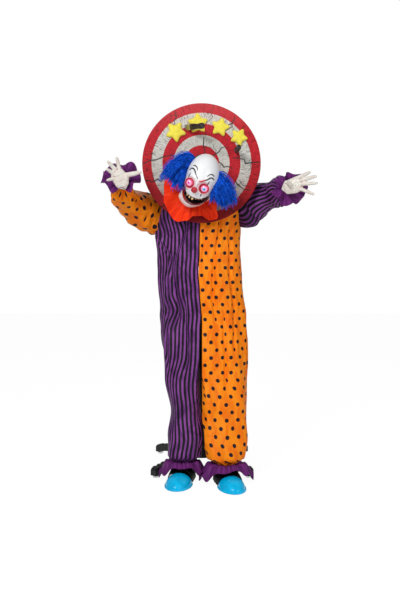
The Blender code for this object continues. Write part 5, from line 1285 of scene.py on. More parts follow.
def eye(side, iris, pupil, drift):
    sign = SIGN[side]
    bm = bmesh.new()
    bmesh.ops.create_uvsphere(bm, u_segments=64, v_segments=40, radius=1.0)
    bmesh.ops.rotate(bm, matrix=Matrix.Rotation(math.pi / 2, 3, "X"), verts=bm.verts)
    away = [math.hypot(v.co.x - drift[0], v.co.z - drift[1]) + (0.0 if v.co.y < 0 else 1.0)
            for v in bm.verts]
    bmesh.ops.scale(bm, vec=(0.0190, 0.0165, 0.0190), verts=bm.verts)
    bmesh.ops.rotate(bm, matrix=Matrix.Rotation(sign * 0.24, 3, "Z"), verts=bm.verts)
    bmesh.ops.translate(bm, vec=(sign * EYE_OUT, -0.0565, 0.0), verts=bm.verts)
    glow = eye_finish("glowing eye " + side, iris, pupil)
    store(piece("eye_glow_" + side, into_head(bm), glow, "head", ["eye_" + side]), "away", away)


eye("right", (0.86, 0.16, 0.60), (0.30, 0.02, 0.10), (0.02, -0.06))
eye("left", (0.10, 0.36, 0.74), (0.03, 0.05, 0.12), (-0.06, -0.12))

# %% Nose
NOSE = blotched("nose red", (0.46, 0.004, 0.018), 0.34, (520.0, 0.22, 90.0), (0.38, 0.62),
                ((0.36, 0.003, 0.016), (0.56, 0.012, 0.034)), Coat_Weight=0.12, Coat_Roughness=0.20)
bm = bmesh.new()
bmesh.ops.create_uvsphere(bm, u_segments=48, v_segments=32, radius=0.0140)
bmesh.ops.scale(bm, vec=(1.0, 0.98, 0.97), verts=bm.verts)
bmesh.ops.translate(bm, vec=(0.0, -0.0885, -0.0175), verts=bm.verts)
piece("nose_ball", into_head(bm), NOSE, "head", ["nose"])

# %% [markdown]
# ## The target
# The target is a printed board with a soft edge. The print is drawn in the
# material from the distance to the hub, with old-paint grime and fine ticks that
# run outward, with painted shade towards the bottom and painted light towards
# the top. The cracks are broken lines.
# The long ones are dark in colour and sunk in the surface; the short ones come
# from a seeded walk that is walked once for the surface and once more for the
# colour, so there the two differ. The board's rear is a ring of bare skin
# inside the rim, and is open round the hub.

# %% Board and its cracks
HUB = at(-0.003, -0.145, 1.4255)
TARGET_R = 0.2685
TARGET_THICK = 0.022
rng = np.random.default_rng(31)


def crack(start, angle, steps, reach, bend):
    """A jagged line that leaves a point of the board, as places across and up from the hub."""
    line = [np.array(start, float)]
    heading = angle
    for i in range(steps):
        heading = angle + bend * (1 if i % 2 else -1) * rng.uniform(0.3, 1.0)
        line.append(line[-1] + reach * rng.uniform(0.6,
                                                   1.4) * np.array([math.cos(heading), math.sin(heading)]))
    return line


LONG_CRACKS = (
    ((-265, -3), (-233, 13), (-206, 15), (-174, 28), (-142, 35), (-120, 33)),
    ((-251, -76), (-219, -82), (-197, -71), (-183, -82), (-165, -60), (-147, -48)),
    ((262, 4), (228, 4), (199, -1), (194, 17), (165, 22), (140, 24)),
    ((152, -76), (163, -95), (176, -104), (194, -118), (222, -121)),
    ((11, 116), (9, 80), (16, 56), (11, 33)),
    ((79, 6), (93, -5), (102, -17), (120, -14), (140, -24)),
    ((43, 24), (62, 40), (79, 51), (92, 70), (112, 76)),
    ((-183, -198), (-165, -184), (-150, -186)), ((124, -202), (136, -208), (147, -225)),
    ((-118, 232), (-112, 206), (-124, 188), (-116, 166)), ((150, 205), (140, 180), (120, 170), (112, 150)),
)
SHORT_CRACKS = ((52, 0.19, 3), (-24, 0.19, 3), (-62, 0.19, 3), (170, 0.21, 2), (128, 0.20, 3), (80, 0.19, 4))
EDGE_STEPS = ((0.0018, 0.0008), (0.0007, 0.0018), (0.0, TARGET_THICK - 0.0050), (-0.0007, 0.0018),
              (-0.0018, 0.0006), (-0.1200, 0.0))


def cracks():
    """(line, half width) pairs in metres: long ones from the rim inward, each with thin side branches."""
    made = []
    for points in LONG_CRACKS:
        line = [np.array(p, float) / 1000.0 for p in points]
        made.append((line, 0.0025))
        for k in range(1, len(line) - 1, 3):
            way = line[k + 1] - line[k]
            angle = math.atan2(way[1], way[0]) + rng.choice((-1.2, 1.2))
            made.append((crack(line[k], angle, 3, 0.013, 0.6), 0.0010))
    for degrees, start, steps in SHORT_CRACKS:
        angle = math.radians(degrees)
        place = (start * math.cos(angle), start * math.sin(angle))
        made.append((crack(place, angle + rng.uniform(-0.25, 0.25), steps, 0.020, 0.75), 0.0013))
    return made


def from_cracks(xz):
    best = np.full(len(xz), 0.05)
    for line, half in cracks():
        count = len(line) - 1
        for i, (a, b) in enumerate(zip(line, line[1:])):
            t, away = to_segment(xz, a, b)
            width = half * (1.0 - 0.65 * abs((i + t) / count - 0.35))
            best = np.minimum(best, away - width)
    return best * 1000.0


def board_bm():
    bm = bmesh.new()
    bmesh.ops.create_grid(bm, x_segments=330, y_segments=330, size=1.0)
    for vert in bm.verts:
        x, z = vert.co.x, vert.co.y
        wide = max(abs(x), abs(z))
        reach = math.hypot(x, z)
        scale = wide / reach if reach > 0 else 0.0
        vert.co = Vector((x * scale * (TARGET_R - 0.0025), 0.0, z * scale * (TARGET_R - 0.0025)))
    hub = [f for f in bm.faces if math.hypot(f.calc_center_median().x, f.calc_center_median().z) < 0.0215]
    bmesh.ops.delete(bm, geom=hub, context="FACES")
    bmesh.ops.recalc_face_normals(bm, faces=bm.faces)
    return bm


bm = board_bm()
places = np.array([[v.co.x, v.co.z] for v in bm.verts])
depth = from_cracks(places)
for vert, away in zip(bm.verts, depth):
    sunk = 0.0006 * (1.0 - ease(away / 0.8))
    vert.co.y += sunk + 0.00025 * noise.noise(vert.co * 60.0)
outer = [v for v in bm.verts if v.is_boundary and math.hypot(v.co.x, v.co.z) > 0.2]
edges = [e for e in bm.edges if e.is_boundary and e.verts[0] in set(outer)]
for push, back in EDGE_STEPS:
    ring, edges = extruded(bm, edges)
    for vert in ring:
        reach = math.hypot(vert.co.x, vert.co.z)
        vert.co.x *= (reach + push) / reach
        vert.co.z *= (reach + push) / reach
        vert.co.y += back
bmesh.ops.recalc_face_normals(bm, faces=bm.faces)
print("board:", len(bm.faces), "faces")

# %% Print of the board
def board_print():
    red, off_white = (0.560, 0.014, 0.026), (0.66, 0.65, 0.60)
    made, tree, shader = finish("printed board", red, 0.55, Specular_IOR_Level=0.18)
    place = object_space(tree)
    grained = grain(tree, 700.0, 0.20, 9.0)
    offset = step(tree, "ShaderNodeVectorMath", inputs={0: place, 1: tuple(HUB)}, operation="SUBTRACT")
    flat = step(tree, "ShaderNodeVectorMath", inputs={0: offset, 1: (1, 0, 1)}, operation="MULTIPLY")
    reach = step(tree, "ShaderNodeVectorMath", out=1, inputs={0: flat}, operation="LENGTH")
    edge = maths(tree, "ADD", reach, centred(tree, noisy(tree, place, 60.0, 4.0), 0.0026))
    tone = mix(tree, ramp(tree, edge, 0.0796, 0.0806), red, off_white)
    for at_r, color in ((0.1268, red), (0.1768, off_white), (0.2255, red)):
        tone = mix(tree, ramp(tree, edge, at_r - 0.0006, at_r + 0.0006), tone, color)
    parts = step(tree, "ShaderNodeSeparateXYZ", inputs={0: flat}).node.outputs
    across, up = parts[0], parts[2]
    angle = maths(tree, "ARCTAN2", up, across)
    polar = {0: maths(tree, "MULTIPLY", angle, 58.0), 1: maths(tree, "MULTIPLY", reach, 34.0)}
    ticks = noisy(tree, step(tree, "ShaderNodeCombineXYZ", inputs=polar), 1.0, 6.0, Roughness=0.75)
    lines = noisy(tree, place, 34.0, 2.0)
    bold = maths(tree, "MULTIPLY", ramp(tree, ticks, 0.535, 0.590), ramp(tree, lines, 0.36, 0.52))
    speck = noisy(tree, place, 260.0, 5.0, Roughness=0.8)
    for amount, share, color, blend in (
        (ramp(tree, ticks, 0.42, 0.58), 0.50, (0.52, 0.49, 0.47), "MULTIPLY"),
        (bold, 0.90, (0.17, 0.14, 0.14), "MULTIPLY"),
        (ramp(tree, speck, 0.54, 0.70), 0.55, (0.34, 0.31, 0.30), "MULTIPLY"),
        (ramp(tree, reading(tree, "crack"), 0.9, -0.2), 0.93, (0.030, 0.026, 0.026), "MIX"),
        # Painted shade darkens the board towards the bottom, and painted light makes it paler towards the
        # top.
        (ramp(tree, up, 0.02, -0.25), 0.85, (0.38, 0.16, 0.16), "MULTIPLY"),
        (ramp(tree, up, 0.10, 0.27), 0.55, (0.24, 0.055, 0.055), "SCREEN"),
    ):
        tone = tinted(tree, tone, amount, share, color, blend)
    depth_in = step(tree, "ShaderNodeSeparateXYZ", out=1, inputs={0: offset})
    bare = mix(tree, ramp(tree, grained["Blotch"], 0.35, 0.7), (0.30, 0.29, 0.27), (0.24, 0.23, 0.22))
    tone = mix(tree, ramp(tree, depth_in, TARGET_THICK - 0.0030, TARGET_THICK - 0.0015), tone, bare)
    fill(tree, shader, {"Base Color": tone, "Normal": grained["Normal"]})
    return made


for vert in bm.verts:
    vert.co += HUB
board = piece("target_print", bm, board_print(), "target", ["target_board"])
store(board, "crack", from_cracks(points_of(board)[:, [0, 2]] - np.array([HUB.x, HUB.z])))

# %% [markdown]
# ## Foam stars
# Four puffy stars are glued along the top of the board. A star is a round
# blank whose outline is pulled in to five points, then blown up softly: high
# in the middle, rolled over at the edge.

# %% Star blanks
def star_reach(angle, lean, size):
    """Distance from the middle to the rounded star's edge in a direction."""
    fifth = 2 * math.pi / 5
    turn = (angle - lean - math.pi / 2) / fifth
    off = abs(turn - round(turn)) * 2.0
    tip, waist = size, size * 0.55
    a = Vector((tip, 0.0))
    b = Vector((waist * math.cos(fifth / 2), waist * math.sin(fifth / 2)))
    way = math.radians(36.0) * off
    ray = Vector((math.cos(way), math.sin(way)))
    side = b - a
    t = (a.x * side.y - a.y * side.x) / (ray.x * side.y - ray.y * side.x)
    round_tip = 1.0 - 0.10 * (1.0 - ease(off / 0.22))
    return t * round_tip


def star_piece(number, x, z, lean, size):
    thick = 0.0150
    bm = bmesh.new()
    bmesh.ops.create_grid(bm, x_segments=90, y_segments=90, size=1.0)
    for vert in bm.verts:
        u, w = vert.co.x, vert.co.y
        wide = max(abs(u), abs(w))
        angle = math.atan2(w, u)
        reach = star_reach(angle, lean, size)
        out = wide * reach
        dome = max(1.0 - wide ** 3.4, 0.0) ** 0.5
        vert.co = Vector((out * math.cos(angle), -thick * (0.30 + 0.70 * dome), out * math.sin(angle)))
    for vert in bm.verts:
        vert.co.y += 0.0005 * noise.noise(vert.co * 90.0 + Vector((number, 0, 0)))
    rim = [e for e in bm.edges if e.is_boundary]
    for scale, y in ((0.995, -0.0022), (0.975, -0.0003), (0.0, -0.0003)):
        verts, rim = extruded(bm, rim)
        for vert in verts:
            vert.co = Vector((vert.co.x * scale, y, vert.co.z * scale))
    sewn(bm, 0.00003)
    bmesh.ops.translate(bm, vec=at(x, -0.145, z), verts=bm.verts)
    made = piece("puffy_star_%d" % number, bm, FOAM, "target", ["foam_star_%d" % number])


def foam_finish():
    yellow = (0.90, 0.80, 0.075)
    made, tree, shader = finish("yellow foam", yellow, 0.72, Sheen_Weight=0.25)
    grained = grain(tree, 1500.0, 0.55, 60.0)
    tone = mix(tree, ramp(tree, grained["Blotch"], 0.35, 0.66), (0.84, 0.70, 0.045), yellow)
    # Painted shade in the foam's pores, where the fine grain is low.
    tone = tinted(tree, tone, ramp(tree, grained["Fine"], 0.36, 0.30), 0.45, (0.52, 0.42, 0.02))
    fill(tree, shader, {"Base Color": tone, "Normal": grained["Normal"]})
    return made


FOAM = foam_finish()
STARS = ((-0.119, 1.566, -0.50, 0.053), (-0.019, 1.603, 0.05, 0.053), (0.082, 1.586, -0.25, 0.049),
         (0.166, 1.542, -0.50, 0.046))
for number, star in enumerate(STARS, 1):
    star_piece(number, *star)

# %% [markdown]
# ## The two prop knives
# Each knife has a thin plate blade that goes into the board and an oval grip
# with a bolster, three rivets on each side and a rounded butt. The grip's
# outline is a row of ovals along its own axis.

# %% Knives
def knife_frame(entry, direction):
    along_way = Vector(direction).normalized()
    across = along_way.cross(Vector((0, 0, 1))).normalized()
    lift = across.cross(along_way)
    return Matrix.Translation(entry) @ Matrix(((along_way.x, lift.x, across.x, 0),
                                               (along_way.y, lift.y, across.y, 0),
                                               (along_way.z, lift.z, across.z, 0), (0, 0, 0, 1)))


def oval_rows(bm, rows, sides=40):
    """A closed skin through ovals (along, half height, half width), with both ends drawn in."""
    rings = []
    for along_at, tall, wide in rows:
        made = bmesh.ops.create_circle(bm, cap_ends=False, segments=sides, radius=1.0)["verts"]
        for vert in made:
            vert.co = Vector((along_at, vert.co.x * tall, vert.co.y * wide))
        rings.append(made)
    loops = [[e for e in {e for v in ring for e in v.link_edges}] for ring in rings]
    for low, high in zip(loops, loops[1:]):
        bmesh.ops.bridge_loops(bm, edges=low + high)
    for loop in (loops[0], loops[-1]):
        bmesh.ops.contextual_create(bm, geom=loop)
    bmesh.ops.recalc_face_normals(bm, faces=bm.faces)


def steel_finish():
    made, tree, shader = finish("blade steel", (0.52, 0.53, 0.55), 0.24, Metallic=1.0)
    brushed = step(tree, "ShaderNodeMapping",
                   inputs={"Vector": object_space(tree), "Scale": (40.0, 40.0, 900.0)})
    lines = noisy(tree, brushed, 1.0, 3.0)
    tone = mix(tree, lines, (0.42, 0.43, 0.45), (0.60, 0.61, 0.63))
    fill(tree, shader, {"Base Color": tone, "Roughness": ramp(tree, lines, 0.3, 0.7, 0.18, 0.36)})
    return made


STEEL = steel_finish()
GRIP = blotched("knife grip", (0.012, 0.010, 0.009), 0.40, (900.0, 0.35, 70.0), (0.42, 0.64),
                ((0.006, 0.005, 0.005), (0.026, 0.017, 0.012)), Coat_Weight=0.06)
BLADE_HALF = 0.0126


def knife(label, entry, direction, blade_out):
    frame_of = knife_frame(at(*entry), direction)
    bm = bmesh.new()
    bmesh.ops.create_cube(bm, size=1.0)
    long_edges = [e for e in bm.edges if abs(e.verts[0].co.x - e.verts[1].co.x) > 0.5]
    bmesh.ops.subdivide_edges(bm, edges=long_edges, cuts=12)
    for vert in bm.verts:
        x = lerp(-0.0118, blade_out, vert.co.x + 0.5)
        if vert.co.y < 0:
            tall = vert.co.y * 2 * (BLADE_HALF * min(1.0, (x + 0.0128) / 0.010))
            thin = 0.0007
        else:
            tall = vert.co.y * 2 * BLADE_HALF * (0.80 + 0.2 * ease((x + 0.012) / 0.01))
            thin = 0.0022
        vert.co = Vector((x, tall, vert.co.z * thin))
    bmesh.ops.transform(bm, matrix=frame_of, verts=bm.verts)
    piece("blade_" + label, bm, STEEL, "target", ["knife_blade_" + label]).data.shade_flat()
    bm = bmesh.new()
    rows = [(0.0, 0.0126, 0.0078), (0.0012, 0.0138, 0.0094), (0.0085, 0.0142, 0.0098),
            (0.0094, 0.0134, 0.0090), (0.012, 0.0136, 0.0092)]
    for i in range(1, 14):
        t = i / 14
        swell = 0.0128 + 0.0012 * math.cos(2 * math.pi * t) - 0.0006 * t
        rows.append((lerp(0.012, 0.0890, t), swell, swell * 0.86))
    rows += [(0.0905, 0.0132, 0.0116), (0.0935, 0.0122, 0.0106), (0.0947, 0.0098, 0.0086),
             (0.0949, 0.0050, 0.0044)]
    oval_rows(bm, rows)
    for t in (0.022, 0.046, 0.072):
        for side in (-1, 1):
            turned(bm, ((0.0, 0.0), (0.0022, 0.0), (0.0026, -0.0006), (0.0026, -0.0020)),
                   Vector((t, 0.0, side * 0.0122)), (0, 0, side), 24)
    bmesh.ops.translate(bm, vec=(blade_out + 0.0003, 0, 0), verts=bm.verts)
    bmesh.ops.transform(bm, matrix=frame_of, verts=bm.verts)
    piece("grip_" + label, bm, GRIP, "target", ["knife_grip_" + label])


knife("a", (-0.078, -0.145, 1.5850), (0.55, -0.83, -0.075), 0.052)
knife("b", (0.152, -0.145, 1.4785), (0.05, -1.0, 0.004), 0.038)

# %% [markdown]
# ## Hair
# Each side of the head has a tuft of crinkled nylon strands, like an unravelled
# rope. A strand starts at a root on the temple, runs along a guide that is
# blended from a few drawn ones, and wavers on the way. Some three hundred
# and thirty of them are drawn as thin tapered lines, over a darker core of
# painted shade that closes the gaps between them.

# %% Tufts of strands
STRAND_STEPS = 26


def tuft(name, guides, count, fat, body_at, body_size, node, seed):
    rng = np.random.default_rng(seed)
    guides = [[at(*p) for p in guide] for guide in guides]
    bm = bmesh.new()
    bmesh.ops.create_icosphere(bm, subdivisions=5, radius=1.0)
    for vert in bm.verts:
        way = vert.co.copy()
        lift = 1.0 + 0.10 * noise.noise(way * 2.6 + Vector((seed, 0, 0))) + 0.05 * noise.noise(way * 9.0)
        size = Vector((way.x * body_size[0], way.y * body_size[1], way.z * body_size[2]))
        vert.co = at(*body_at) + size * lift
    # The dark core is painted shade inside the tuft, seen in the gaps between strands.
    piece(name + "_core", bm, HAIR_SHADE_CORE, "head", [node])
    curve = round_curve(name, 0)
    for i in range(count):
        if i % 9 == 0:
            lock_at = rng.uniform(0, len(guides) - 1.001)
            lock = Vector(rng.normal(0, 0.85, 3).tolist())
        where = min(max(lock_at + rng.normal(0, 0.10), 0.0), len(guides) - 1.001)
        k = int(where)
        share = where - k
        spread = lock + Vector(rng.normal(0, 0.42, 3).tolist())
        length = rng.uniform(0.66, 1.03)
        wave = rng.uniform(0.0005, 0.0019)
        turns = rng.uniform(7.0, 15.0)
        phase = rng.uniform(0, 6.28)
        across = Vector(rng.normal(0, 1, 3).tolist()).normalized()
        points, radii = [], []
        for j in range(STRAND_STEPS + 1):
            t = j / STRAND_STEPS * length
            a, b = guide_point(guides[k], min(t, 1.0)), guide_point(guides[k + 1], min(t, 1.0))
            point = a.lerp(b, share) + spread * (0.0045 + 0.0070 * ease(t * 1.6))
            point += across * wave * math.sin(turns * t * 3.0 + phase) * ease(t * 4.0)
            point.z -= 0.010 * max(t - 0.6, 0.0) ** 2
            points.append(point)
            radii.append(fat * (1.0 - 0.5 * t) * (1.0 if j < STRAND_STEPS else 0.4))
        add_spline(curve, points, radii)
    mesh = meshed(curve)
    mesh.materials.clear()
    hang(name + "_strands", mesh, HAIR, "head")
    print(name, len(mesh.polygons), "faces")


def hair_finish(name, color, light):
    made, tree, shader = finish(name, color, 0.60, Specular_IOR_Level=0.05)
    place = object_space(tree)
    tone = mix(tree, ramp(tree, noisy(tree, place, 120.0, 4.0), 0.38, 0.64), color, light)
    clump = ramp(tree, noisy(tree, place, 38.0, 2.0), 0.52, 0.36, 0.0, 0.55)
    tone = mix(tree, clump, tone, tuple(c * 0.35 for c in color))
    fill(tree, shader, {"Base Color": tone})
    return made


HAIR = hair_finish("blue strands", (0.004, 0.062, 0.50), (0.014, 0.165, 0.92))
HAIR_SHADE_CORE = hair_finish("blue shade core", (0.002, 0.022, 0.16), (0.004, 0.050, 0.32))
RIGHT_GUIDES = (
    ((-0.032, -0.270, 1.424), (-0.046, -0.286, 1.444), (-0.075, -0.292, 1.450), (-0.108, -0.291, 1.434),
     (-0.142, -0.286, 1.404),
     (-0.172, -0.282, 1.374)),
    ((-0.042, -0.282, 1.416), (-0.062, -0.300, 1.428), (-0.098, -0.302, 1.418), (-0.130, -0.297, 1.392),
     (-0.153, -0.292, 1.366),
     (-0.172, -0.288, 1.346)),
    ((-0.054, -0.290, 1.392), (-0.076, -0.306, 1.396), (-0.102, -0.308, 1.380), (-0.124, -0.302, 1.356),
     (-0.140, -0.298, 1.334),
     (-0.150, -0.294, 1.316)),
    ((-0.058, -0.288, 1.380), (-0.080, -0.306, 1.374), (-0.098, -0.308, 1.352), (-0.110, -0.304, 1.330),
     (-0.116, -0.302, 1.314),
     (-0.118, -0.300, 1.302)),
    ((-0.062, -0.286, 1.362), (-0.078, -0.302, 1.350), (-0.088, -0.306, 1.334), (-0.092, -0.304, 1.320),
     (-0.092, -0.302, 1.308),
     (-0.090, -0.300, 1.300)),
)
LEFT_GUIDES = (
    ((0.060, -0.288, 1.352), (0.075, -0.302, 1.363), (0.098, -0.300, 1.352), (0.124, -0.292, 1.320),
     (0.143, -0.286, 1.290),
     (0.156, -0.282, 1.266)),
    ((0.056, -0.294, 1.348), (0.070, -0.310, 1.350), (0.092, -0.308, 1.330), (0.114, -0.300, 1.294),
     (0.130, -0.294, 1.260),
     (0.138, -0.290, 1.236)),
    ((0.052, -0.298, 1.340), (0.064, -0.316, 1.334), (0.082, -0.316, 1.304), (0.098, -0.310, 1.268),
     (0.108, -0.304, 1.238),
     (0.112, -0.300, 1.220)),
    ((0.046, -0.300, 1.326), (0.056, -0.320, 1.314), (0.066, -0.322, 1.284), (0.074, -0.318, 1.252),
     (0.078, -0.312, 1.232),
     (0.080, -0.308, 1.220)),
    ((0.040, -0.302, 1.310), (0.044, -0.322, 1.294), (0.048, -0.326, 1.270), (0.048, -0.322, 1.250),
     (0.046, -0.316, 1.240),
     (0.044, -0.312, 1.232)),
)
tuft("hair_tuft_right", RIGHT_GUIDES, 330, 0.00150, (-0.100, -0.272, 1.374), (0.050, 0.028, 0.050),
     "hair_right", 5)
tuft("hair_tuft_left", LEFT_GUIDES, 330, 0.00150, (0.090, -0.274, 1.290), (0.040, 0.032, 0.062),
     "hair_left", 9)

# %% [markdown]
# ## Hands
# A latex hand has no edges, so its palm, thumb pad and fingers are built as
# overlapping tapered limbs and then melted together: a fine voxel remesh welds
# them and a smoothing pass rounds the creases. The joints of each finger swell
# a little, as real ones do.

# %% Melted limbs
ROUND_STEPS = 16
THUMB = 4


def limb(bm, points, radii, flat, side, steps=14):
    """A tapered tube along a smooth line, flatter across one direction, with pointed ends."""
    line = smooth_line(points, steps)
    sizes = [v.x for v in smooth_line([Vector((r, 0, 0)) for r in radii], steps)]
    rings = []
    for k, (point, radius) in enumerate(zip(line, sizes)):
        way = (line[min(k + 1, steps)] - line[max(k - 1, 0)]).normalized()
        u = way.cross(side).normalized()
        w = u.cross(way).normalized()
        ring = []
        for i in range(ROUND_STEPS):
            angle = 2 * math.pi * i / ROUND_STEPS
            spot = point + u * radius * math.cos(angle)
            ring.append(bm.verts.new(spot + w * radius * flat * math.sin(angle)))
        rings.append(ring)
    for low, high in zip(rings, rings[1:]):
        for i in range(ROUND_STEPS):
            j = (i + 1) % ROUND_STEPS
            bm.faces.new((low[i], low[j], high[j], high[i]))
    for ring, way, radius in ((rings[0], line[0] - line[1], sizes[0]),
                              (rings[-1], line[-1] - line[-2], sizes[-1])):
        middle = sum((v.co for v in ring), Vector()) / ROUND_STEPS
        tip = bm.verts.new(middle + way.normalized() * radius * 0.75)
        for i in range(ROUND_STEPS):
            bm.faces.new((ring[i], ring[(i + 1) % ROUND_STEPS], tip))


def hand_skin():
    tone, warm = (0.74, 0.73, 0.66), (0.70, 0.60, 0.54)
    made, tree, shader = finish("latex hand", tone, 0.44, Coat_Weight=0.08)
    grained = grain(tree, 900.0, 0.30, 46.0)
    lines = noisy(tree, object_space(tree), 70.0, 5.0, Roughness=0.6)
    color = mix(tree, ramp(tree, grained["Blotch"], 0.38, 0.66), tone, warm)
    # Painted shade in the grooves between the fingers and in the creases of the hand.
    color = mix(tree, ramp(tree, reading(tree, "hollow"), 0.15, 0.9), color, (0.44, 0.34, 0.28))
    bump = bumped(tree, lines, 0.45, 0.0012, Normal=grained["Normal"])
    fill(tree, shader, {"Base Color": color, "Normal": bump})
    return made


SKIN = hand_skin()


def hand(label, heel, knuckles, fingers):
    wrist, heel, knuckles = at(*WRIST[label]), at(*heel), at(*knuckles)
    stub_way = (WRIST[label] - ELBOW[label]).normalized()
    toward = (knuckles - heel).normalized()
    facing = Vector((0, -1, 0))
    normal = (facing - toward * facing.dot(toward)).normalized()
    across = toward.cross(normal).normalized()
    bm = bmesh.new()
    middle = (heel + knuckles) / 2
    roots = [at(*f[0]) for f in fingers]
    for k, (root, tip, fat) in enumerate(fingers):
        root, tip = at(*root), at(*tip)
        inward, splay, bulge = (0.35, 0.7, 0.004) if k == THUMB else (0.0, 0.55, 0.007)
        back = heel.lerp(middle, inward) + across * (root - heel).dot(across) * splay
        curl = normal * bulge
        points = [back - normal * 0.002, root.lerp(back, 0.42), root, lerp(root, tip, 0.36) + curl * -0.35,
                  lerp(root, tip, 0.70) - curl * 0.2, tip + curl * 0.25]
        limb(bm, points, [fat * share for share in (1.25, 1.30, 1.10, 1.00, 0.90, 0.62)], 0.92, normal)
    limb(bm, [heel - toward * 0.004, middle, knuckles - toward * 0.010], [0.028, 0.034, 0.028], 0.40, normal)
    for out in (across, -across):
        limb(bm, [heel + out * 0.010, middle + out * 0.016, knuckles + out * 0.012 - toward * 0.012],
             [0.014, 0.017, 0.013], 0.62, normal)
    stub = wrist + stub_way * 0.016
    limb(bm, [wrist + stub_way * 0.0008, stub, heel.lerp(stub, 0.3), heel + toward * 0.006],
         [0.0158, 0.0162, 0.0178, 0.0200], 0.90, normal)
    made = piece("latex_hand_" + label, bm, SKIN, None)
    melt = made.modifiers.new("melt", "REMESH")
    melt.mode = "VOXEL"
    melt.voxel_size = 0.0016
    rounder = made.modifiers.new("rounder", "SMOOTH")
    rounder.factor = 0.5
    rounder.iterations = 7
    mesh = evaluated(made)
    made.modifiers.clear()
    made.data = mesh
    mesh.shade_smooth()
    if not mesh.materials:
        mesh.materials.append(SKIN)
    # Where the painted shade goes: grooves between the finger roots and two creases across the hand.
    places = points_of(made)
    hollow = np.zeros(len(places))
    for k in range(3):
        groove = np.array((roots[k] + roots[k + 1]) / 2 + normal * 0.004)
        hollow += np.exp(-(np.linalg.norm(places - groove, axis=1) / 0.0060) ** 2)
    for share, width in ((0.30, 0.0022), (0.62, 0.0020)):
        spot = np.array(heel.lerp(knuckles, share) + normal * 0.010)
        offset = places - spot
        sideways = offset @ np.array(across)
        bend = offset @ np.array(toward) - 9.0 * sideways ** 2
        near = np.exp(-(bend / width) ** 2) * np.exp(-(sideways / 0.026) ** 2)
        hollow += 0.75 * near * (offset @ np.array(normal) > -0.010)
    store(made, "hollow", np.clip(hollow, 0, 1))
    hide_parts("hand_" + label)
    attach(made, "forearm_" + label)
    print("hand", label, len(mesh.polygons), "faces")


hand("right", (-0.3440, -0.2960, 1.3160), (-0.3740, -0.3120, 1.3800), (
    ((-0.3580, -0.312, 1.3860), (-0.3667, -0.330, 1.4300), 0.0085),
    ((-0.3740, -0.313, 1.3780), (-0.4050, -0.335, 1.4130), 0.0088),
    ((-0.3810, -0.312, 1.3620), (-0.4090, -0.335, 1.3800), 0.0085),
    ((-0.3800, -0.308, 1.3420), (-0.4085, -0.330, 1.3330), 0.0078),
    ((-0.3300, -0.303, 1.3560), (-0.2640, -0.332, 1.3670), 0.0108)))
hand("left", (0.3660, -0.2930, 1.3040), (0.4300, -0.3200, 1.3200), (
    ((0.4190, -0.318, 1.3470), (0.4610, -0.345, 1.3665), 0.0085),
    ((0.4280, -0.321, 1.3340), (0.4860, -0.352, 1.3480), 0.0088),
    ((0.4300, -0.322, 1.3180), (0.4905, -0.352, 1.3190), 0.0085),
    ((0.4260, -0.318, 1.2960), (0.4780, -0.345, 1.2710), 0.0078),
    ((0.3940, -0.308, 1.3050), (0.3560, -0.350, 1.3250), 0.0108)))

# %% [markdown]
# ## Shoes
# A shoe is a black canvas upper on a thick sole, with a glossy moulded toe cap
# in front and a raised welt round it. Each dome is half an egg: a sphere is
# halved, stretched further to the front than to the rear, and given a skirt.
# Each sole is a slab round an egg-shaped outline.

# %% Shoe parts
def egg(bm, front, rear, half_wide, tall, lift, matrix, skirt):
    """Half an egg on a short vertical skirt, open underneath."""
    before = set(bm.verts)
    made = bmesh.ops.create_uvsphere(bm, u_segments=96, v_segments=64, radius=1.0)["verts"]
    faces = list({f for v in made for f in v.link_faces})
    edges = list({e for v in made for e in v.link_edges})
    bmesh.ops.bisect_plane(bm, geom=made + edges + faces, plane_co=(0, 0, 0), plane_no=(0, 0, -1),
                           clear_outer=True)
    shell = [v for v in bm.verts if v not in before]
    for vert in shell:
        y = vert.co.y
        vert.co = Vector((vert.co.x * half_wide, y * (front if y < 0 else rear), vert.co.z * tall + lift))
    rim = [e for e in bm.edges if e.is_boundary and e.verts[0] not in before]
    for vert in extruded(bm, rim)[0]:
        vert.co.z = lift - skirt
        shell.append(vert)
    bmesh.ops.transform(bm, matrix=matrix, verts=shell)


def sole_ring(bm, outline, low, high, swell, matrix):
    """A closed slab round an outline, with rounded upper and lower edges."""
    rows = []
    soft = (high - low) * 0.24
    for scale, z in ((0.0, low), (0.90, low), (1.0, low + soft), (1.0 + swell, (low + high) / 2),
                     (1.0, high - soft), (0.93, high), (0.0, high)):
        rows.append([bm.verts.new(Vector((x * scale, y * scale, z))) for x, y in outline])
    for a, b in zip(rows, rows[1:]):
        for i in range(len(a)):
            j = (i + 1) % len(a)
            bm.faces.new((a[i], a[j], b[j], b[i]))
    fresh = [v for row in rows for v in row]
    bmesh.ops.transform(bm, matrix=matrix, verts=fresh)
    bmesh.ops.remove_doubles(bm, verts=fresh, dist=0.00002)


def egg_line(wide, front, rear):
    line = []
    for i in range(96):
        angle = 2 * math.pi * i / 96
        line.append((wide * math.cos(angle), (front if math.sin(angle) < 0 else rear) * math.sin(angle)))
    return line


def gloss(name, color, roughness, coat, depth):
    return blotched(name, color, roughness, (800.0, depth, 40.0), (0.36, 0.66),
                    (tuple(c * 0.80 for c in color), color), Coat_Weight=coat, Coat_Roughness=0.05,
                    Specular_IOR_Level=0.22)


TOE = gloss("toe cap blue", (0.001, 0.56, 0.98), 0.26, 0.02, 0.08)
UPPER = gloss("black canvas", (0.006, 0.006, 0.007), 0.60, 0.0, 0.8)


def keep_side(bm, matrix, cut_y, way_y):
    """Keep only the shoe in front of the cap's rear edge, or only what is behind it."""
    cut_away(bm, matrix @ Vector((0, cut_y, 0)), matrix.to_3x3() @ Vector((0, way_y, 0)))


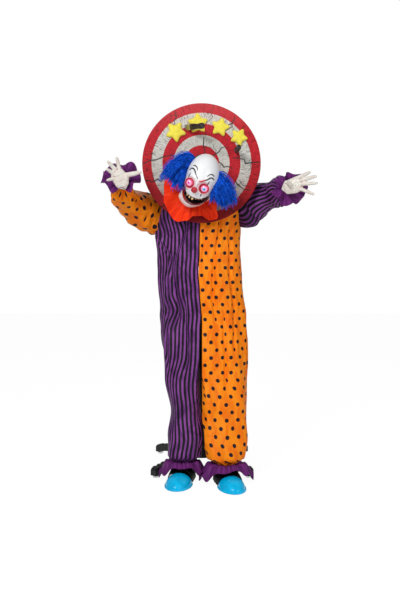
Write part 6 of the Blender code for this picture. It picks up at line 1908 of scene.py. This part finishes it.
def shoe(side, turn):
    ankle = ANKLE[side]
    lie = Matrix.Translation(at(ankle.x, ankle.y, 0.0)) @ Matrix.Rotation(turn, 4, "Z")
    toe, heel, cap_middle = 0.200, 0.062, -0.102
    cut_y = cap_middle + 0.018
    bm = bmesh.new()
    egg(bm, toe - 0.006, heel, 0.0600, 0.0590, 0.0145, lie, 0.003)
    sole_ring(bm, egg_line(0.0560, toe - 0.006, heel), 0.0, 0.016, 0.012, lie)
    keep_side(bm, lie, cut_y + 0.0006, -1.0)
    turned(bm, ((0.0335, 0.0), (0.0335, 0.052), (0.0320, 0.0555), (0.0300, 0.0555), (0.0290, 0.048)),
           at(ankle.x, ankle.y, 0.040), (0, 0, 1), 64)
    piece("shoe_upper_" + side, bm, UPPER, "stand", ["shoe_" + side])
    bm = bmesh.new()
    cap_lie = lie @ Matrix.Translation((0, cap_middle, 0))
    egg(bm, 0.092, 0.110, 0.0570, 0.0470, 0.0062, cap_lie, 0.004)
    sole_ring(bm, egg_line(0.0610, 0.0960, 0.1115), 0.0, 0.0120, 0.006, cap_lie)
    keep_side(bm, lie, cut_y, 1.0)
    wall(piece("glossy_toe_" + side, bm, TOE, "stand", ["toe_cap_" + side]), 0.0008)


shoe("right", math.radians(-8.5))
shoe("left", math.radians(11.0))

# %% [markdown]
# ## The camera, the floor and the light
# The photograph looks straight at the clown from about chest height, so the
# camera stands 3.5 m away and tips down a little. The floor and the world
# look white to the camera and to reflections, but light the figure softly.

# %% Camera, floor and lamps
eye = bpy.data.cameras.new("camera")
eye.sensor_fit = "VERTICAL"
eye.sensor_height = 36.0
eye.lens = 46.4
camera = bpy.data.objects.new("camera", eye)
camera.location = (-0.0446, -3.5525, 1.034)
camera.rotation_euler = (math.radians(90.0 - 3.70), 0.0, 0.0)
bpy.context.scene.collection.objects.link(camera)
bpy.context.scene.camera = camera


def pale_floor():
    made, tree, shader = finish("pale floor", (0.82, 0.82, 0.82), 0.9)
    grained = grain(tree, 60.0, 0.05, 1.2)
    tone = mix(tree, ramp(tree, grained["Blotch"], 0.3, 0.7), (0.81, 0.81, 0.81), (0.83, 0.83, 0.83))
    fill(tree, shader, {"Base Color": tone})
    path = tree.nodes.new("ShaderNodeLightPath").outputs
    seen = maths(tree, "MAXIMUM", path["Is Glossy Ray"], path["Is Transmission Ray"])
    seen = maths(tree, "MULTIPLY", maths(tree, "MAXIMUM", path["Is Camera Ray"], seen), 0.90)
    glow = step(tree, "ShaderNodeEmission", inputs={"Color": (1.0, 1.0, 1.0, 1.0), "Strength": 1.06})
    both = step(tree, "ShaderNodeMixShader", inputs={0: seen, 1: shader.outputs[0], 2: glow})
    tree.links.new(both, tree.nodes["Material Output"].inputs["Surface"])
    return made


bm = bmesh.new()
bmesh.ops.create_grid(bm, x_segments=2, y_segments=2, size=9.0)
floor = piece("floor", bm, pale_floor(), None)

world = bpy.data.worlds.new("studio")
bpy.context.scene.world = world
world.use_nodes = True
sky = world.node_tree
path = sky.nodes.new("ShaderNodeLightPath")
seen = maths(sky, "MAXIMUM", path.outputs["Is Camera Ray"], path.outputs["Is Transmission Ray"])
sky.nodes["Background"].inputs["Color"].default_value = (1.0, 1.0, 1.0, 1.0)
sky.links.new(ramp(sky, seen, 0.0, 1.0, 0.30, 1.0, False), sky.nodes["Background"].inputs["Strength"])


def lamp(name, place, target, size, power, tint=(1.0, 1.0, 1.0)):
    light = bpy.data.lights.new(name, "AREA")
    light.shape = "DISK"
    light.size = size
    light.energy = power
    light.color = tint
    obj = bpy.data.objects.new(name, light)
    obj.location = place
    obj.rotation_euler = (Vector(target) - Vector(place)).to_track_quat("-Z", "Y").to_euler()
    bpy.context.scene.collection.objects.link(obj)


lamp("key", (-1.6, -3.2, 3.0), (0.0, 0.0, 1.0), 1.5, 98.0)
lamp("fill", (2.6, -2.8, 1.6), (0.0, 0.0, 0.9), 2.2, 34.0)
lamp("back", (0.4, 2.8, 2.6), (0.0, 0.0, 1.2), 1.8, 15.0)
bpy.context.scene.view_settings.view_transform = "Standard"
